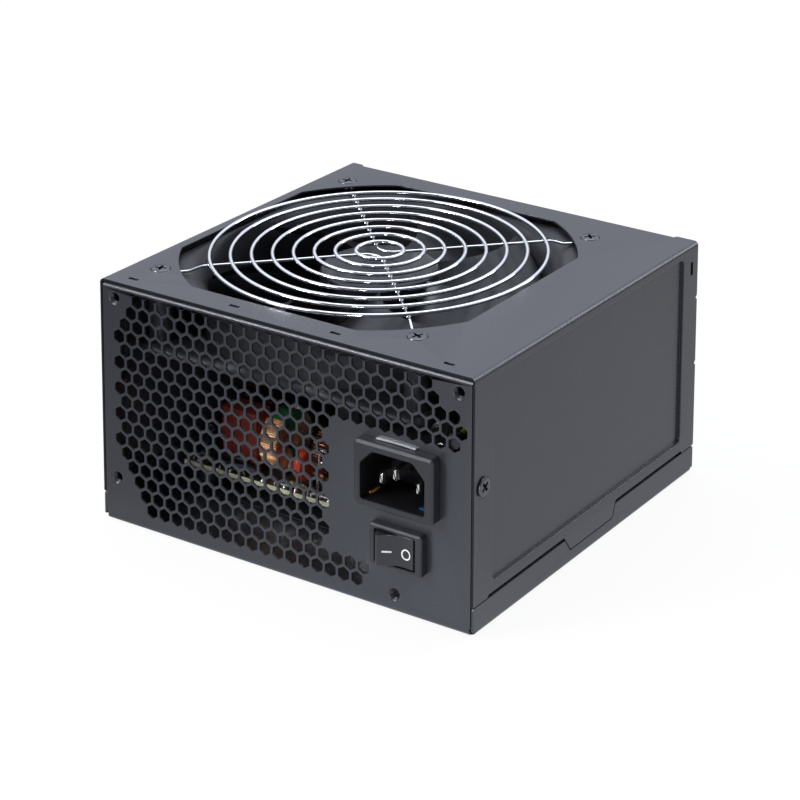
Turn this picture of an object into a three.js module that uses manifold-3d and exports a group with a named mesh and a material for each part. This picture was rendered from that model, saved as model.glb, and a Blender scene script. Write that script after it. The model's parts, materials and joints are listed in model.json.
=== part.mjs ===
// Desktop computer power supply (ATX form) with a top fan under a wire grille, a honeycomb
// rear panel with mains inlet and rocker switch, and modular output sockets at the front.
//
// Millimetres, +Z up. The origin is the centre of the case's bottom face.
// -Y is the rear panel, +Y the front panel, +X the right side seen from the rear.
import * as THREE from 'three';
import { mergeVertices } from 'three/addons/utils/BufferGeometryUtils.js';
import Module from 'manifold-3d';

const wasm = await Module();
wasm.setup();

// ---------------------------------------------------------------- dimensions
const CASE_W = 150;            // X
const CASE_D = 140;            // Y
const CASE_H = 86;             // Z
const HALF_W = CASE_W / 2;
const HALF_D = CASE_D / 2;
const SHEET = 0.8;             // steel sheet thickness
const GAP = 0.3;               // assembly gap
const BEND_R = 1.6;            // outer radius of the cover's bends
const PANEL_HALF_W = HALF_W - SHEET - GAP;   // end panels stop inside the cover's sides
const PANEL_TOP = CASE_H - SHEET - 0.4;
const LIP_H = 9.5;             // height of the base's side lips
const SEAM_Z = 9.9;            // lower edge of the cover's sides
const COVER_SCREW = { y: -65, z: 48.7 };
const RECESS = { y0: -59.5, y1: 60.5, z0: 14, z1: 82.8, r: 3, depth: 0.7 };

const HEX_PITCH = 5.28;        // honeycomb pitch along X
const HEX_FLATS = 4.3;         // honeycomb hole across flats
const HEX_ROW = HEX_PITCH * Math.sqrt(3) / 2;
const HEX_TOP_Z = 80.7;        // centre height of the top row
const HEX_LEFT_X = -67.2;      // x of half-pitch index 0
// rows from the top: first and last half-pitch index, step 2
const HEX_ROWS = [
  [3, 47], [2, 48], [1, 51], [0, 52], [1, 51], [0, 32], [1, 31], [0, 32], [1, 31],
  [0, 32], [1, 31], [0, 32], [1, 31], [2, 32], [3, 31], [4, 38], [5, 37],
];

const ATX_HOLES = [[-69, 80], [69, 80], [-69, 16], [45, 6]];   // x, z on the rear panel
const ATX_HOLE_R = 1.7;

const FAN_SIZE = 120;
const FAN_THICK = 25;
const FAN_X = -11.2;
const FAN_Y = 0;
const FAN_CENTRE = [FAN_X, FAN_Y];
const FAN_TOP = 83.4;
const FAN_BOTTOM = FAN_TOP - FAN_THICK;
const FAN_HOLES = 105;         // screw spacing
const FAN_SCREWS = [[-1, -1], [1, -1], [-1, 1], [1, 1]].map(([signX, signY]) => [
  FAN_X + signX * FAN_HOLES / 2, FAN_Y + signY * FAN_HOLES / 2]);
const FAN_SCREW_HOLE_R = 2.3;
const FAN_DUCT_R = 58.3;
const BEARING_BORE_R = 3.2;
const HUB_R = 20.5;
const HUB_INNER_R = 18.2;
const HUB_BOTTOM = FAN_BOTTOM + 3.4;
const HUB_TOP = FAN_BOTTOM + 23;
const HUB_CEILING = HUB_TOP - 2.2;           // underside of the cup's top
const OPENING_HALF = 59.2;     // square part of the cover's fan opening
const OPENING_R = 68;          // circle that cuts its corners

// angles in radians about the fan axis; each "taper" is the loss from root to tip
const BLADE = {
  count: 7, rootR: HUB_R - 1.2, tipR: 56.8, thickness: 1.3,
  start: -0.05, sweep: 0.34,
  chord: 0.80, chordTaper: 0.12,
  drop: 15.6, dropTaper: 3.4,                // height lost along the chord
  radialSteps: 4, chordSteps: 3,
};

const GRILLE = {
  rings: 8, outerR: 57.8, pitch: 7.1, wireR: 0.85, ringZ: 86.75,
  spokeBottom: 84.6, spokeTop: 86.15, spokeHalfW: 0.8, bendHalfW: 0.78,
};

// x, z, w, h: outer flange; cav: cavity; body: half sizes of the part behind the panel
const INLET = {
  x: 47.1, z: 46.4, w: 30.4, h: 22, proud: 4.2,
  cavX: 46.9, cavZ: 46.3, cavW: 24.4, cavH: 16.6, chamfer: 4.6,
  bodyHalfW: 13.3, bodyHalfH: 9.3,
};
const INLET_FRONT = -HALF_D - INLET.proud;
// x, z of the pins; y of the tip
const INLET_PINS = [
  { name: 'inlet_pin_live', x: INLET.cavX - 7, z: INLET.cavZ - 2, tip: -70.1 },
  { name: 'inlet_pin_neutral', x: INLET.cavX + 7, z: INLET.cavZ - 2, tip: -70.1 },
  { name: 'inlet_pin_earth', x: INLET.cavX, z: INLET.cavZ + 2, tip: -72.7 },
];
const PIN_HALF_W = 1;
const PIN_HALF_H = 2;

// x, z, w, h: outer bezel; centreX: axis of the opening, the body and the rocker
const SWITCH = {
  x: 47.4, z: 23.15, w: 20.2, h: 14.0, proud: 3.2,
  centreX: 47.25, openW: 15.5, openH: 11.0, bodyHalfW: 9, bodyHalfH: 6.5,
};
const SWITCH_FRONT = -HALF_D - SWITCH.proud;
// crease: height of the central fold above the pivot; half: length of each face; tilt in degrees
const ROCKER = { pivotY: -70.6, crease: 2.5, half: 6.5, tilt: 15, r: 7.54, halfZ: 5.3 };

const LEAD_R = 1.3;            // insulated leads

const PCB = { x0: -70, x1: 70, y0: -35, y1: 60, z0: 7.2, z1: 8.8 };
const PCB_HOLES = [[-64, -28], [64, -28], [-64, 50], [64, 50]];   // x, y
const SEAT = PCB.z1 + 0.1;     // underside of the parts that stand on the board

// output sockets: centre x and z on the front panel, and width
const SOCKET_H = 10.6;
const SOCKETS = [
  { name: 'output_socket_24pin', x: -32, z: 22, w: 52.6 },
  { name: 'output_socket_8pin_1', x: -49.4, z: 41, w: 18.4 },
  { name: 'output_socket_8pin_2', x: -25.2, z: 41, w: 18.4 },
  { name: 'output_socket_8pin_3', x: -1.0, z: 41, w: 18.4 },
  { name: 'output_socket_8pin_4', x: 23.2, z: 41, w: 18.4 },
  { name: 'output_socket_6pin_1', x: 11.2, z: 22, w: 14.2 },
  { name: 'output_socket_6pin_2', x: 33.2, z: 22, w: 14.2 },
];

// ---------------------------------------------------------------- finishes
// columns: color, roughness, metalness
const FINISH = {
  powderCoat: [0x55565f, 0.55, 0.35],
  blackPlastic: [0x1b1b1e, 0.5, 0],
  chrome: [0xd8d8dc, 0.15, 1],
  steel: [0xb8babd, 0.3, 1],
  darkScrew: [0x1d1d20, 0.4, 0.8],
  fanPlastic: [0x17171a, 0.45, 0],
  glossyPlastic: [0x101013, 0.18, 0],
  rockerPlastic: [0x222225, 0.4, 0],
  bronze: [0xb08a3c, 0.35, 1],
  stator: [0x8a4a22, 0.5, 0.6],
  magnet: [0x4a4a4c, 0.5, 0.4],
  blackLead: [0x111113, 0.5, 0],
  brownLead: [0x8a4b1e, 0.45, 0],
  blueLead: [0x1f5fa8, 0.45, 0],
  greenLead: [0x7a9a2a, 0.45, 0],
  tanBoard: [0xb9a25a, 0.6, 0],
  greenBoard: [0x2b6a3c, 0.5, 0],
  insulator: [0x2a2a2c, 0.5, 0],
  redCase: [0x6a1f1c, 0.4, 0],
  brightWinding: [0xc8702a, 0.3, 0.9],
  darkWinding: [0x7a3c1c, 0.35, 0.8],
  pfcWinding: [0xb8642a, 0.35, 0.8],
  outputWinding: [0xb5602a, 0.35, 0.8],
  fuse: [0xd8d2c0, 0.3, 0],
  blackResin: [0x19191b, 0.45, 0],
  blackSleeve: [0x1c1c22, 0.35, 0],
  blueSleeve: [0x23305a, 0.35, 0],
  aluminium: [0xa9acb0, 0.35, 1],
  brownCore: [0x3a3326, 0.5, 0],
  yellowTape: [0xd6b13a, 0.45, 0],
};

const psu = new THREE.Group();
function add(name, manifold, [color, roughness, metalness]) {
  const material = new THREE.MeshStandardMaterial({ color, roughness, metalness });
  const mesh = new THREE.Mesh(geometryOf(manifold), material);
  mesh.name = name;
  psu.add(mesh);
}

// ---------------------------------------------------------------- solids
// Welds a geometry, drops collapsed triangles and turns its faces outward.
function solid(geometry) {
  const bare = geometry.clone();
  for (const name of Object.keys(bare.attributes)) {
    if (name !== 'position') bare.deleteAttribute(name);
  }
  const welded = mergeVertices(bare, 1e-4);
  const position = welded.attributes.position;
  const index = welded.index.array;
  const triangles = [];
  const corners = [new THREE.Vector3(), new THREE.Vector3(), new THREE.Vector3()];
  let volume = 0;
  for (let i = 0; i < index.length; i += 3) {
    const ids = [index[i], index[i + 1], index[i + 2]];
    if (new Set(ids).size < 3) continue;
    ids.forEach((id, k) => corners[k].fromBufferAttribute(position, id));
    volume += corners[0].dot(corners[1].cross(corners[2]));
    triangles.push(...ids);
  }
  if (volume < 0) triangles.reverse();
  return new wasm.Manifold(new wasm.Mesh({
    numProp: 3,
    vertProperties: new Float32Array(position.array),
    triVerts: new Uint32Array(triangles),
  }));
}
function meshGeometry(vertices, faces) {
  const geometry = new THREE.BufferGeometry();
  geometry.setAttribute('position', new THREE.Float32BufferAttribute(vertices, 3));
  geometry.setIndex(new THREE.Uint32BufferAttribute(faces, 1));
  return geometry;
}
function geometryOf(manifold) {
  const mesh = manifold.getMesh();
  const geometry = meshGeometry(mesh.vertProperties, mesh.triVerts);
  geometry.computeVertexNormals();
  return geometry;
}
const join = (first, ...rest) => rest.reduce((sum, part) => sum.add(part), first);
const cut = (first, ...rest) => rest.reduce((sum, part) => sum.subtract(part), first);

// an X range on the +X side (side 1), or its mirror image (side -1)
const span = (side, from, to) => (side > 0 ? [from, to] : [-to, -from]);

function box(x0, x1, y0, y1, z0, z1) {
  const geometry = new THREE.BoxGeometry(x1 - x0, y1 - y0, z1 - z0);
  geometry.translate((x0 + x1) / 2, (y0 + y1) / 2, (z0 + z1) / 2);
  return solid(geometry);
}
// box centred on (x, z)
const boxAround = (x, z, halfX, halfZ, y0, y1) =>
  box(x - halfX, x + halfX, y0, y1, z - halfZ, z + halfZ);

// Truncated cone along an axis; (u, v) are its other two coordinates in x, y, z order.
function cone(axis, lowR, highR, from, to, u, v, sides) {
  const geometry = new THREE.CylinderGeometry(highR, lowR, to - from, sides);
  const middle = (from + to) / 2;
  geometry.rotateX(Math.PI / 2);
  if (axis === 'x') {
    geometry.rotateY(Math.PI / 2);
    geometry.translate(middle, u, v);
  } else if (axis === 'y') {
    geometry.rotateX(-Math.PI / 2);
    geometry.translate(u, middle, v);
  } else {
    geometry.translate(u, v, middle);
  }
  return solid(geometry);
}
const rod = (axis, radius, ...rest) => cone(axis, radius, radius, ...rest);

const shapeOf = (points) => new THREE.Shape(points.map(([x, y]) => new THREE.Vector2(x, y)));

// Extruded outline: axis 'z' takes (x, y), 'y' takes (x, z), 'x' takes (y, z).
function extrusion(axis, points, from, to) {
  const geometry = new THREE.ExtrudeGeometry(
    shapeOf(points), { depth: to - from, bevelEnabled: false });
  if (axis === 'z') {
    geometry.translate(0, 0, from);
  } else if (axis === 'y') {
    geometry.rotateX(Math.PI / 2);
    geometry.translate(0, to, 0);
  } else {
    geometry.applyMatrix4(new THREE.Matrix4().makeBasis(
      new THREE.Vector3(0, 1, 0), new THREE.Vector3(0, 0, 1), new THREE.Vector3(1, 0, 0)));
    geometry.translate(from, 0, 0);
  }
  return geometry;
}
const prism = (...args) => solid(extrusion(...args));
function perforated(axis, points, from, to, holes) {
  const cutters = holes.map((hole) => prism(axis, hole, from - 1, to + 1));
  return prism(axis, points, from, to).subtract(wasm.Manifold.union(cutters));
}

// outlines
const rect = (x0, x1, y0, y1) => [[x0, y0], [x1, y0], [x1, y1], [x0, y1]];
const rectAround = (x, y, halfX, halfY) => rect(x - halfX, x + halfX, y - halfY, y + halfY);
const ARC_STEPS = 3;
function arc(centreX, centreY, radius, fromDeg, toDeg) {
  return Array.from({ length: ARC_STEPS + 1 }, (_, i) => {
    const angle = THREE.MathUtils.degToRad(fromDeg + (toDeg - fromDeg) * i / ARC_STEPS);
    return [centreX + radius * Math.cos(angle), centreY + radius * Math.sin(angle)];
  });
}
const roundRect = (x0, x1, y0, y1, r) => [
  ...arc(x1 - r, y0 + r, r, -90, 0), ...arc(x1 - r, y1 - r, r, 0, 90),
  ...arc(x0 + r, y1 - r, r, 90, 180), ...arc(x0 + r, y0 + r, r, 180, 270)];
function circle(centreX, centreY, radius, sides, phase = 0) {
  return Array.from({ length: sides }, (_, i) => {
    const angle = phase + 2 * Math.PI * i / sides;
    return [centreX + radius * Math.cos(angle), centreY + radius * Math.sin(angle)];
  });
}

// Lathe about a vertical axis; the profile is a closed loop of [radius, z].
function turned(profile, x, y, segments) {
  const points = [...profile, profile[0]].map(([radius, z]) => new THREE.Vector2(radius, z));
  const geometry = new THREE.LatheGeometry(points, segments);
  geometry.rotateX(Math.PI / 2);
  geometry.translate(x, y, 0);
  return solid(geometry);
}
const tube = (innerR, outerR, z0, z1, x, y, segments) =>
  turned([[innerR, z0], [outerR, z0], [outerR, z1], [innerR, z1]], x, y, segments);

function torus(ringR, tubeR, sides, segments, x, y, z, axis = 'z') {
  const geometry = new THREE.TorusGeometry(ringR, tubeR, sides, segments);
  if (axis === 'x') geometry.rotateY(Math.PI / 2);
  geometry.translate(x, y, z);
  return solid(geometry);
}

// Block whose -Y end is bevelled: over the bevel depth each side comes in by the inset.
function bevelled(x0, x1, z0, z1, front, back, bevel, inset) {
  const base = front + bevel + 0.05;              // overlaps the straight part
  const vertices = [
    [x0, base, z0], [x1, base, z0], [x1, base, z1], [x0, base, z1],
    [x0 + inset, front, z0 + inset], [x1 - inset, front, z0 + inset],
    [x1 - inset, front, z1 - inset], [x0 + inset, front, z1 - inset],
  ].flat();
  const faces = [
    0, 1, 2, 0, 2, 3, 4, 6, 5, 4, 7, 6, 0, 5, 1, 0, 4, 5,
    1, 6, 2, 1, 5, 6, 2, 7, 3, 2, 6, 7, 3, 4, 0, 3, 7, 4,
  ];
  return join(box(x0, x1, front + bevel, back, z0, z1), solid(meshGeometry(vertices, faces)));
}

// Insulated lead along a smooth path.
function lead(points, steps) {
  const path = new THREE.CatmullRomCurve3(
    points.map((point) => new THREE.Vector3(...point)), false, 'centripetal');
  return solid(new THREE.ExtrudeGeometry(
    shapeOf(circle(0, 0, LEAD_R, 6)), { steps, bevelEnabled: false, extrudePath: path }));
}

// ---------------------------------------------------------------- base chassis
function rearPanel() {
  const holes = [];
  HEX_ROWS.forEach(([first, last], row) => {
    for (let i = first; i <= last; i += 2) {
      const x = HEX_LEFT_X + i * HEX_PITCH / 2;
      const z = HEX_TOP_Z - row * HEX_ROW;
      holes.push(circle(x, z, HEX_FLATS / Math.sqrt(3), 6, Math.PI / 6));
    }
  });
  for (const [x, z] of ATX_HOLES) holes.push(circle(x, z, ATX_HOLE_R, 8));
  holes.push(
    rectAround(INLET.cavX, INLET.cavZ, INLET.bodyHalfW + GAP, INLET.bodyHalfH + GAP),
    rectAround(SWITCH.centreX, SWITCH.z, SWITCH.bodyHalfW + GAP, SWITCH.bodyHalfH + GAP));
  const outline = rect(-PANEL_HALF_W, PANEL_HALF_W, 0, PANEL_TOP);
  return perforated('y', outline, -HALF_D, -HALF_D + SHEET, holes);
}
function frontPanel() {
  const clearance = 0.35;
  const holes = SOCKETS.map(({ x, z, w }) =>
    rectAround(x, z, w / 2 + clearance, SOCKET_H / 2 + clearance));
  const outline = rect(-PANEL_HALF_W, PANEL_HALF_W, 0, PANEL_TOP);
  return perforated('y', outline, HALF_D - SHEET, HALF_D, holes);
}
function baseSide(side) {
  // the lip's notch takes the cover's tab; columns y, z
  const notch = [
    [-16.6, LIP_H + 1], [16.6, LIP_H + 1], [15.0, 5.9], [13.9, 4.8], [-12.4, 4.8], [-13.5, 5.9]];
  const lip = cut(
    box(...span(side, HALF_W - SHEET, HALF_W), -HALF_D, HALF_D, 0, LIP_H),
    prism('x', notch, ...span(side, HALF_W - SHEET - 1, HALF_W + 1)));
  // upright strip behind the seam, with the webs that tie it to the lip
  const strip = box(...span(side, HALF_W - 2, HALF_W - 1.2), -60, 60, 2.6, 12.6);
  const webX = span(side, HALF_W - 2, HALF_W - SHEET + 0.1);
  const webs = [
    box(...webX, -60, -17.2, 7.4, 9.2),
    box(...webX, 17.2, 60, 7.4, 9.2),
    box(...webX, -17.2, 17.2, 2.6, 4.4)];
  // landing for the cover's side screw, folded from the rear panel
  const landing = cut(
    box(...span(side, HALF_W - 1.9, HALF_W - 1.1), -HALF_D, -61.2, 41, 57),
    rod('x', 1.75, ...span(side, HALF_W - 3, HALF_W), COVER_SCREW.y, COVER_SCREW.z, 12));
  return [lip, strip, ...webs, landing];
}
// rolled collar of a threaded fixing hole
const holeCollar = ([x, z]) => cut(
  rod('y', 2.6, -HALF_D + 0.1, -HALF_D + SHEET + 1.2, x, z, 8),
  rod('y', ATX_HOLE_R, -HALF_D - 1, -HALF_D + 4, x, z, 8));

// One folded sheet: bottom, rear panel, front panel and low side lips.
function baseChassis() {
  const flange = (y0, y1) =>
    box(-PANEL_HALF_W, PANEL_HALF_W, y0, y1, PANEL_TOP - SHEET, PANEL_TOP);
  const standoffs = PCB_HOLES.map(([x, y]) => cone('z', 5.2, 3.4, 0.4, PCB.z0 - 0.1, x, y, 8));
  const hollows = PCB_HOLES.flatMap(([x, y]) => [
    cone('z', 4.4, 2.6, -0.5, PCB.z0 - 1.0, x, y, 8),
    rod('z', 1.6, -1, PCB.z0 + 1, x, y, 8)]);
  const sheet = join(
    rearPanel(),
    frontPanel(),
    box(-HALF_W, HALF_W, -HALF_D, HALF_D, 0, SHEET),
    flange(-HALF_D, -HALF_D + 8),
    flange(HALF_D - 8, HALF_D),
    ...baseSide(-1),
    ...baseSide(1),
    ...ATX_HOLES.map(holeCollar),
    ...standoffs);
  return cut(sheet, ...hollows);
}
add('base_chassis', baseChassis(), FINISH.powderCoat);

// ---------------------------------------------------------------- top cover
function coverSheet() {
  const bendX = HALF_W - BEND_R;
  const bendZ = CASE_H - BEND_R;
  const innerR = BEND_R - SHEET;
  const profile = [
    [HALF_W, SEAM_Z],
    ...arc(bendX, bendZ, BEND_R, 0, 90), ...arc(-bendX, bendZ, BEND_R, 90, 180),
    [-HALF_W, SEAM_Z], [-HALF_W + SHEET, SEAM_Z],
    ...arc(-bendX, bendZ, innerR, 180, 90), ...arc(bendX, bendZ, innerR, 90, 0),
    [HALF_W - SHEET, SEAM_Z]];
  return prism('y', profile, -HALF_D, HALF_D);
}
function coverTopCuts() {
  const through = [CASE_H - 3, CASE_H + 3];
  // fan opening: a square whose corners follow a circle
  const opening = prism('z', rectAround(FAN_X, FAN_Y, OPENING_HALF, OPENING_HALF), ...through)
    .intersect(rod('z', OPENING_R, CASE_H - 4, CASE_H + 4, ...FAN_CENTRE, 48));
  const countersinks = FAN_SCREWS.map(([x, y]) =>
    cone('z', FAN_SCREW_HOLE_R, 4.0, CASE_H - 1.0, CASE_H + 0.2, x, y, 12));
  const slots = [-65, -22.4, 18.2, 61.8].map((x) => box(x - 2, x + 2, -65.5, -64.0, ...through));
  // front edge set back between the corner tabs
  const setback = box(-69, 66, 68.7, HALF_D + 1, ...through);
  return [opening, ...countersinks, ...slots, setback];
}
function coverSideCuts(side) {
  const { y0, y1, z0, z1, r, depth } = RECESS;
  const through = span(side, HALF_W - 1.5, HALF_W + 1);
  const edgeNotch = (z) => prism('x',
    [[HALF_D + 0.1, z - 0.9], [HALF_D + 0.1, z + 0.9], [HALF_D - 0.9, z]], ...through);
  return [
    // label recess
    prism('x', roundRect(y0, y1, z0, z1, r), ...span(side, HALF_W - depth, HALF_W + 1)),
    rod('x', 1.9, ...span(side, HALF_W - 2, HALF_W + 1), COVER_SCREW.y, COVER_SCREW.z, 12),
    // upright slot near the front edge, then the raised lower edge
    prism('x', rect(64.95, 66.65, 74.7, 79.7), ...through),
    prism('x', rect(-61.8, 61.5, SEAM_Z - 1, SEAM_Z + 0.4), ...through),
    edgeNotch(65.5),
    edgeNotch(41)];
}
function coverSideAdds(side) {
  const { y0, y1, z0, z1, r, depth } = RECESS;
  // the pressed-in sheet behind the recess
  const backing = prism('x',
    roundRect(y0 - SHEET, y1 + SHEET, z0 - SHEET, z1 + SHEET, r + SHEET),
    ...span(side, HALF_W - depth - SHEET, HALF_W - depth));
  // the tab at the lower edge; columns y, z
  const tab = [
    [-16.2, SEAM_Z + 1.4], [16.2, SEAM_Z + 1.4], [16.2, SEAM_Z + 0.3], [14.6, 6.1],
    [13.6, 5.2], [-12.1, 5.2], [-13.1, 6.1], [-16.2, SEAM_Z + 0.3]];
  return [backing, prism('x', tab, ...span(side, HALF_W - SHEET, HALF_W))];
}
// Folded sheet: top with the fan opening, and both sides.
function topCover() {
  const trimmed = cut(coverSheet(), ...coverTopCuts(), ...coverSideCuts(-1), ...coverSideCuts(1));
  return join(trimmed, ...coverSideAdds(-1), ...coverSideAdds(1));
}
add('top_cover', topCover(), FINISH.powderCoat);

function coverScrew(side) {
  const { y, z } = COVER_SCREW;
  const part = (innerR, outerR, from, to, sides) => (side > 0
    ? cone('x', innerR, outerR, from, to, y, z, sides)
    : cone('x', outerR, innerR, -to, -from, y, z, sides));
  const slot = (halfY, halfZ) => box(
    ...span(side, HALF_W + 0.4, HALF_W + 1.2), y - halfY, y + halfY, z - halfZ, z + halfZ);
  const head = join(
    part(3.5, 3.5, HALF_W + 0.1, HALF_W + 0.45, 12),
    part(3.5, 3.0, HALF_W + 0.4, HALF_W + 0.8, 12));
  const shank = part(1.45, 1.45, HALF_W - 5.5, HALF_W + 0.2, 8);
  return join(cut(head, slot(1.7, 0.3), slot(0.3, 1.7)), shank);
}
add('cover_screw_right', coverScrew(1), FINISH.darkScrew);
add('cover_screw_left', coverScrew(-1), FINISH.darkScrew);

// ---------------------------------------------------------------- fan
// Two square flanges, the duct wall, screw tubes, and a motor base on four struts.
function fanFrame() {
  const half = FAN_SIZE / 2;
  const flangeThick = 3.6;
  const outline = roundRect(FAN_X - half, FAN_X + half, FAN_Y - half, FAN_Y + half, 5);
  const holes = [
    circle(FAN_X, FAN_Y, FAN_DUCT_R, 32),
    ...FAN_SCREWS.map(([x, y]) => circle(x, y, FAN_SCREW_HOLE_R, 8))];
  const struts = Array.from({ length: 4 }, (_, k) => {
    const strut = new THREE.BoxGeometry(41, 4.2, 3);
    strut.translate(39, 0, FAN_BOTTOM + 1.5);
    strut.rotateZ(Math.PI / 4 + k * Math.PI / 2 + 0.12);
    strut.translate(FAN_X, FAN_Y, 0);
    return solid(strut);
  });
  const frame = join(
    perforated('z', outline, FAN_TOP - flangeThick, FAN_TOP, holes),
    perforated('z', outline, FAN_BOTTOM, FAN_BOTTOM + flangeThick, holes),
    tube(FAN_DUCT_R, 59.7, FAN_BOTTOM + 1, FAN_TOP - 1, ...FAN_CENTRE, 32),
    rod('z', 21, FAN_BOTTOM, FAN_BOTTOM + 2.4, ...FAN_CENTRE, 20),
    ...FAN_SCREWS.map(([x, y]) =>
      tube(FAN_SCREW_HOLE_R, 4.4, FAN_BOTTOM + 1, FAN_TOP - 1, x, y, 8)),
    ...struts,
    rod('z', 4.6, FAN_BOTTOM + 1, FAN_BOTTOM + 17.5, ...FAN_CENTRE, 16));
  const bore = rod('z', BEARING_BORE_R, FAN_BOTTOM + 2.4, FAN_BOTTOM + 20, ...FAN_CENTRE, 16);
  return cut(frame, bore);
}
// tube about the fan axis, heights above the fan's underside
const fanTube = (innerR, outerR, low, high, segments) =>
  tube(innerR, outerR, FAN_BOTTOM + low, FAN_BOTTOM + high, ...FAN_CENTRE, segments);
add('fan_frame', fanFrame(), FINISH.fanPlastic);
add('fan_bearing', fanTube(1.6, BEARING_BORE_R - 0.15, 2.7, 17.3, 16), FINISH.bronze);
add('fan_stator', fanTube(4.95, 14.4, 4.6, 14.6, 20), FINISH.stator);

// One twisted blade: a grid of top and underside points, closed round its edges.
function fanBlade(number) {
  const { radialSteps, chordSteps } = BLADE;
  const vertices = [];
  const faces = [];
  for (let i = 0; i <= radialSteps; i++) {
    const outward = i / radialSteps;
    const radius = BLADE.rootR + (BLADE.tipR - BLADE.rootR) * outward;
    const leading = number * 2 * Math.PI / BLADE.count
      + BLADE.sweep * outward * outward + BLADE.start;
    const chord = BLADE.chord - BLADE.chordTaper * outward;
    const drop = BLADE.drop - BLADE.dropTaper * outward;
    for (let j = 0; j <= chordSteps; j++) {
      const along = j / chordSteps;
      const angle = leading - chord * along;
      const x = FAN_X + radius * Math.cos(angle);
      const y = FAN_Y + radius * Math.sin(angle);
      const z = HUB_TOP - 0.9 - drop * (1.25 * along - 0.25 * along * along);
      vertices.push(x, y, z, x, y, z - BLADE.thickness);
    }
  }
  // indices of the top and underside points at grid place i, j
  const pair = (i, j) => {
    const top = (i * (chordSteps + 1) + j) * 2;
    return [top, top + 1];
  };
  for (let i = 0; i < radialSteps; i++) {
    for (let j = 0; j < chordSteps; j++) {
      const corners = [pair(i, j), pair(i + 1, j), pair(i + 1, j + 1), pair(i, j + 1)];
      const [a, b, c, d] = corners.map(([top]) => top);
      faces.push(a, c, b, a, d, c);
      const [e, f, g, h] = corners.map(([, under]) => under);
      faces.push(e, f, g, e, g, h);
    }
  }
  const edge = (from, to) => faces.push(from[0], to[0], to[1], from[0], to[1], from[1]);
  for (let i = 0; i < radialSteps; i++) {
    edge(pair(i, 0), pair(i + 1, 0));
    edge(pair(i + 1, chordSteps), pair(i, chordSteps));
  }
  for (let j = 0; j < chordSteps; j++) {
    edge(pair(0, j + 1), pair(0, j));
    edge(pair(radialSteps, j), pair(radialSteps, j + 1));
  }
  return solid(meshGeometry(vertices, faces));
}
function fanImpeller() {
  const cup = turned([
    [HUB_INNER_R, HUB_BOTTOM], [HUB_R, HUB_BOTTOM], [HUB_R, HUB_TOP - 0.8],
    [HUB_R - 0.8, HUB_TOP], [0, HUB_TOP], [0, HUB_CEILING], [HUB_INNER_R, HUB_CEILING],
  ], ...FAN_CENTRE, 24);
  const blades = Array.from({ length: BLADE.count }, (_, k) => fanBlade(k));
  // keep the cup's inside clear of the blade roots
  const inside = rod('z', HUB_INNER_R, HUB_BOTTOM - 2, HUB_CEILING, ...FAN_CENTRE, 24);
  return cut(join(cup, ...blades), inside);
}
add('fan_impeller', fanImpeller(), FINISH.glossyPlastic);
add('fan_magnet_ring', fanTube(15.8, 17.9, 4.2, 19.5, 24), FINISH.magnet);
add('fan_shaft',
  rod('z', 1.45, FAN_BOTTOM + 3.2, FAN_BOTTOM + 20.7, ...FAN_CENTRE, 16), FINISH.steel);

// ---------------------------------------------------------------- fan grille
// The outer end of each spoke steps down to a screw eyelet.
function grilleSpoke(number) {
  const { spokeBottom, spokeTop, spokeHalfW } = GRILLE;
  // columns: distance from the fan axis, z
  const profile = [
    [7.4, spokeBottom], [62.4, spokeBottom], [65.4, 83.5], [71.4, 83.5],
    [71.4, 85.1], [66.1, 85.1], [63, spokeTop], [7.4, spokeTop]];
  const spoke = extrusion('y', profile, -spokeHalfW, spokeHalfW);
  spoke.rotateZ(Math.PI / 4 + number * Math.PI / 2);
  spoke.translate(FAN_X, FAN_Y, 0);
  return solid(spoke);
}
// The bend inside the innermost ring that makes two spokes a single wire.
function grilleBend(side) {
  // centre line from the fan axis; columns x, y
  const line = [[6.2, 6.2], [4.0, 3.7], [1.6, 2.7], [-1.6, 2.7], [-4.0, 3.7], [-6.2, 6.2]]
    .map(([x, y]) => new THREE.Vector2(x, y));
  const offset = (distance) => line.map((point, i) => {
    const before = line[Math.max(0, i - 1)];
    const after = line[Math.min(line.length - 1, i + 1)];
    const along = after.clone().sub(before).normalize();
    return [
      FAN_X + point.x - along.y * distance,
      FAN_Y + side * (point.y + along.x * distance)];
  });
  const outline = [...offset(GRILLE.bendHalfW), ...offset(-GRILLE.bendHalfW).reverse()];
  return prism('z', outline, GRILLE.spokeBottom, GRILLE.spokeTop);
}
function fanGrille() {
  const rings = Array.from({ length: GRILLE.rings }, (_, i) => {
    const radius = GRILLE.outerR - GRILLE.pitch * i;
    const segments = 8 + 3 * Math.round(radius / GRILLE.pitch);
    return torus(radius, GRILLE.wireR, 4, segments, ...FAN_CENTRE, GRILLE.ringZ);
  });
  const eyelets = FAN_SCREWS.map(([x, y]) => torus(3.5, 0.8, 4, 8, x, y, 84.3));
  return join(
    ...rings, ...[0, 1, 2, 3].map(grilleSpoke), grilleBend(-1), grilleBend(1), ...eyelets);
}
add('fan_grille', fanGrille(), FINISH.chrome);

function fanScrew([x, y]) {
  const head = cone('z', 1.9, 3.1, 84.9, 85.9, x, y, 12);
  const shank = rod('z', 1.85, 72, 85.0, x, y, 8);
  const slot = (halfX, halfY) => box(x - halfX, x + halfX, y - halfY, y + halfY, 85.2, 86.5);
  return cut(join(head, shank), slot(1.7, 0.35), slot(0.35, 1.7));
}
FAN_SCREWS.forEach((place, i) => add(`fan_screw_${i + 1}`, fanScrew(place), FINISH.darkScrew));
add('fan_lead', lead([
  [45, 50.5, 58.1], [46, 50.5, 50], [44.5, 47, 30], [42, 44, 9.3]], 10), FINISH.blackLead);

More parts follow.
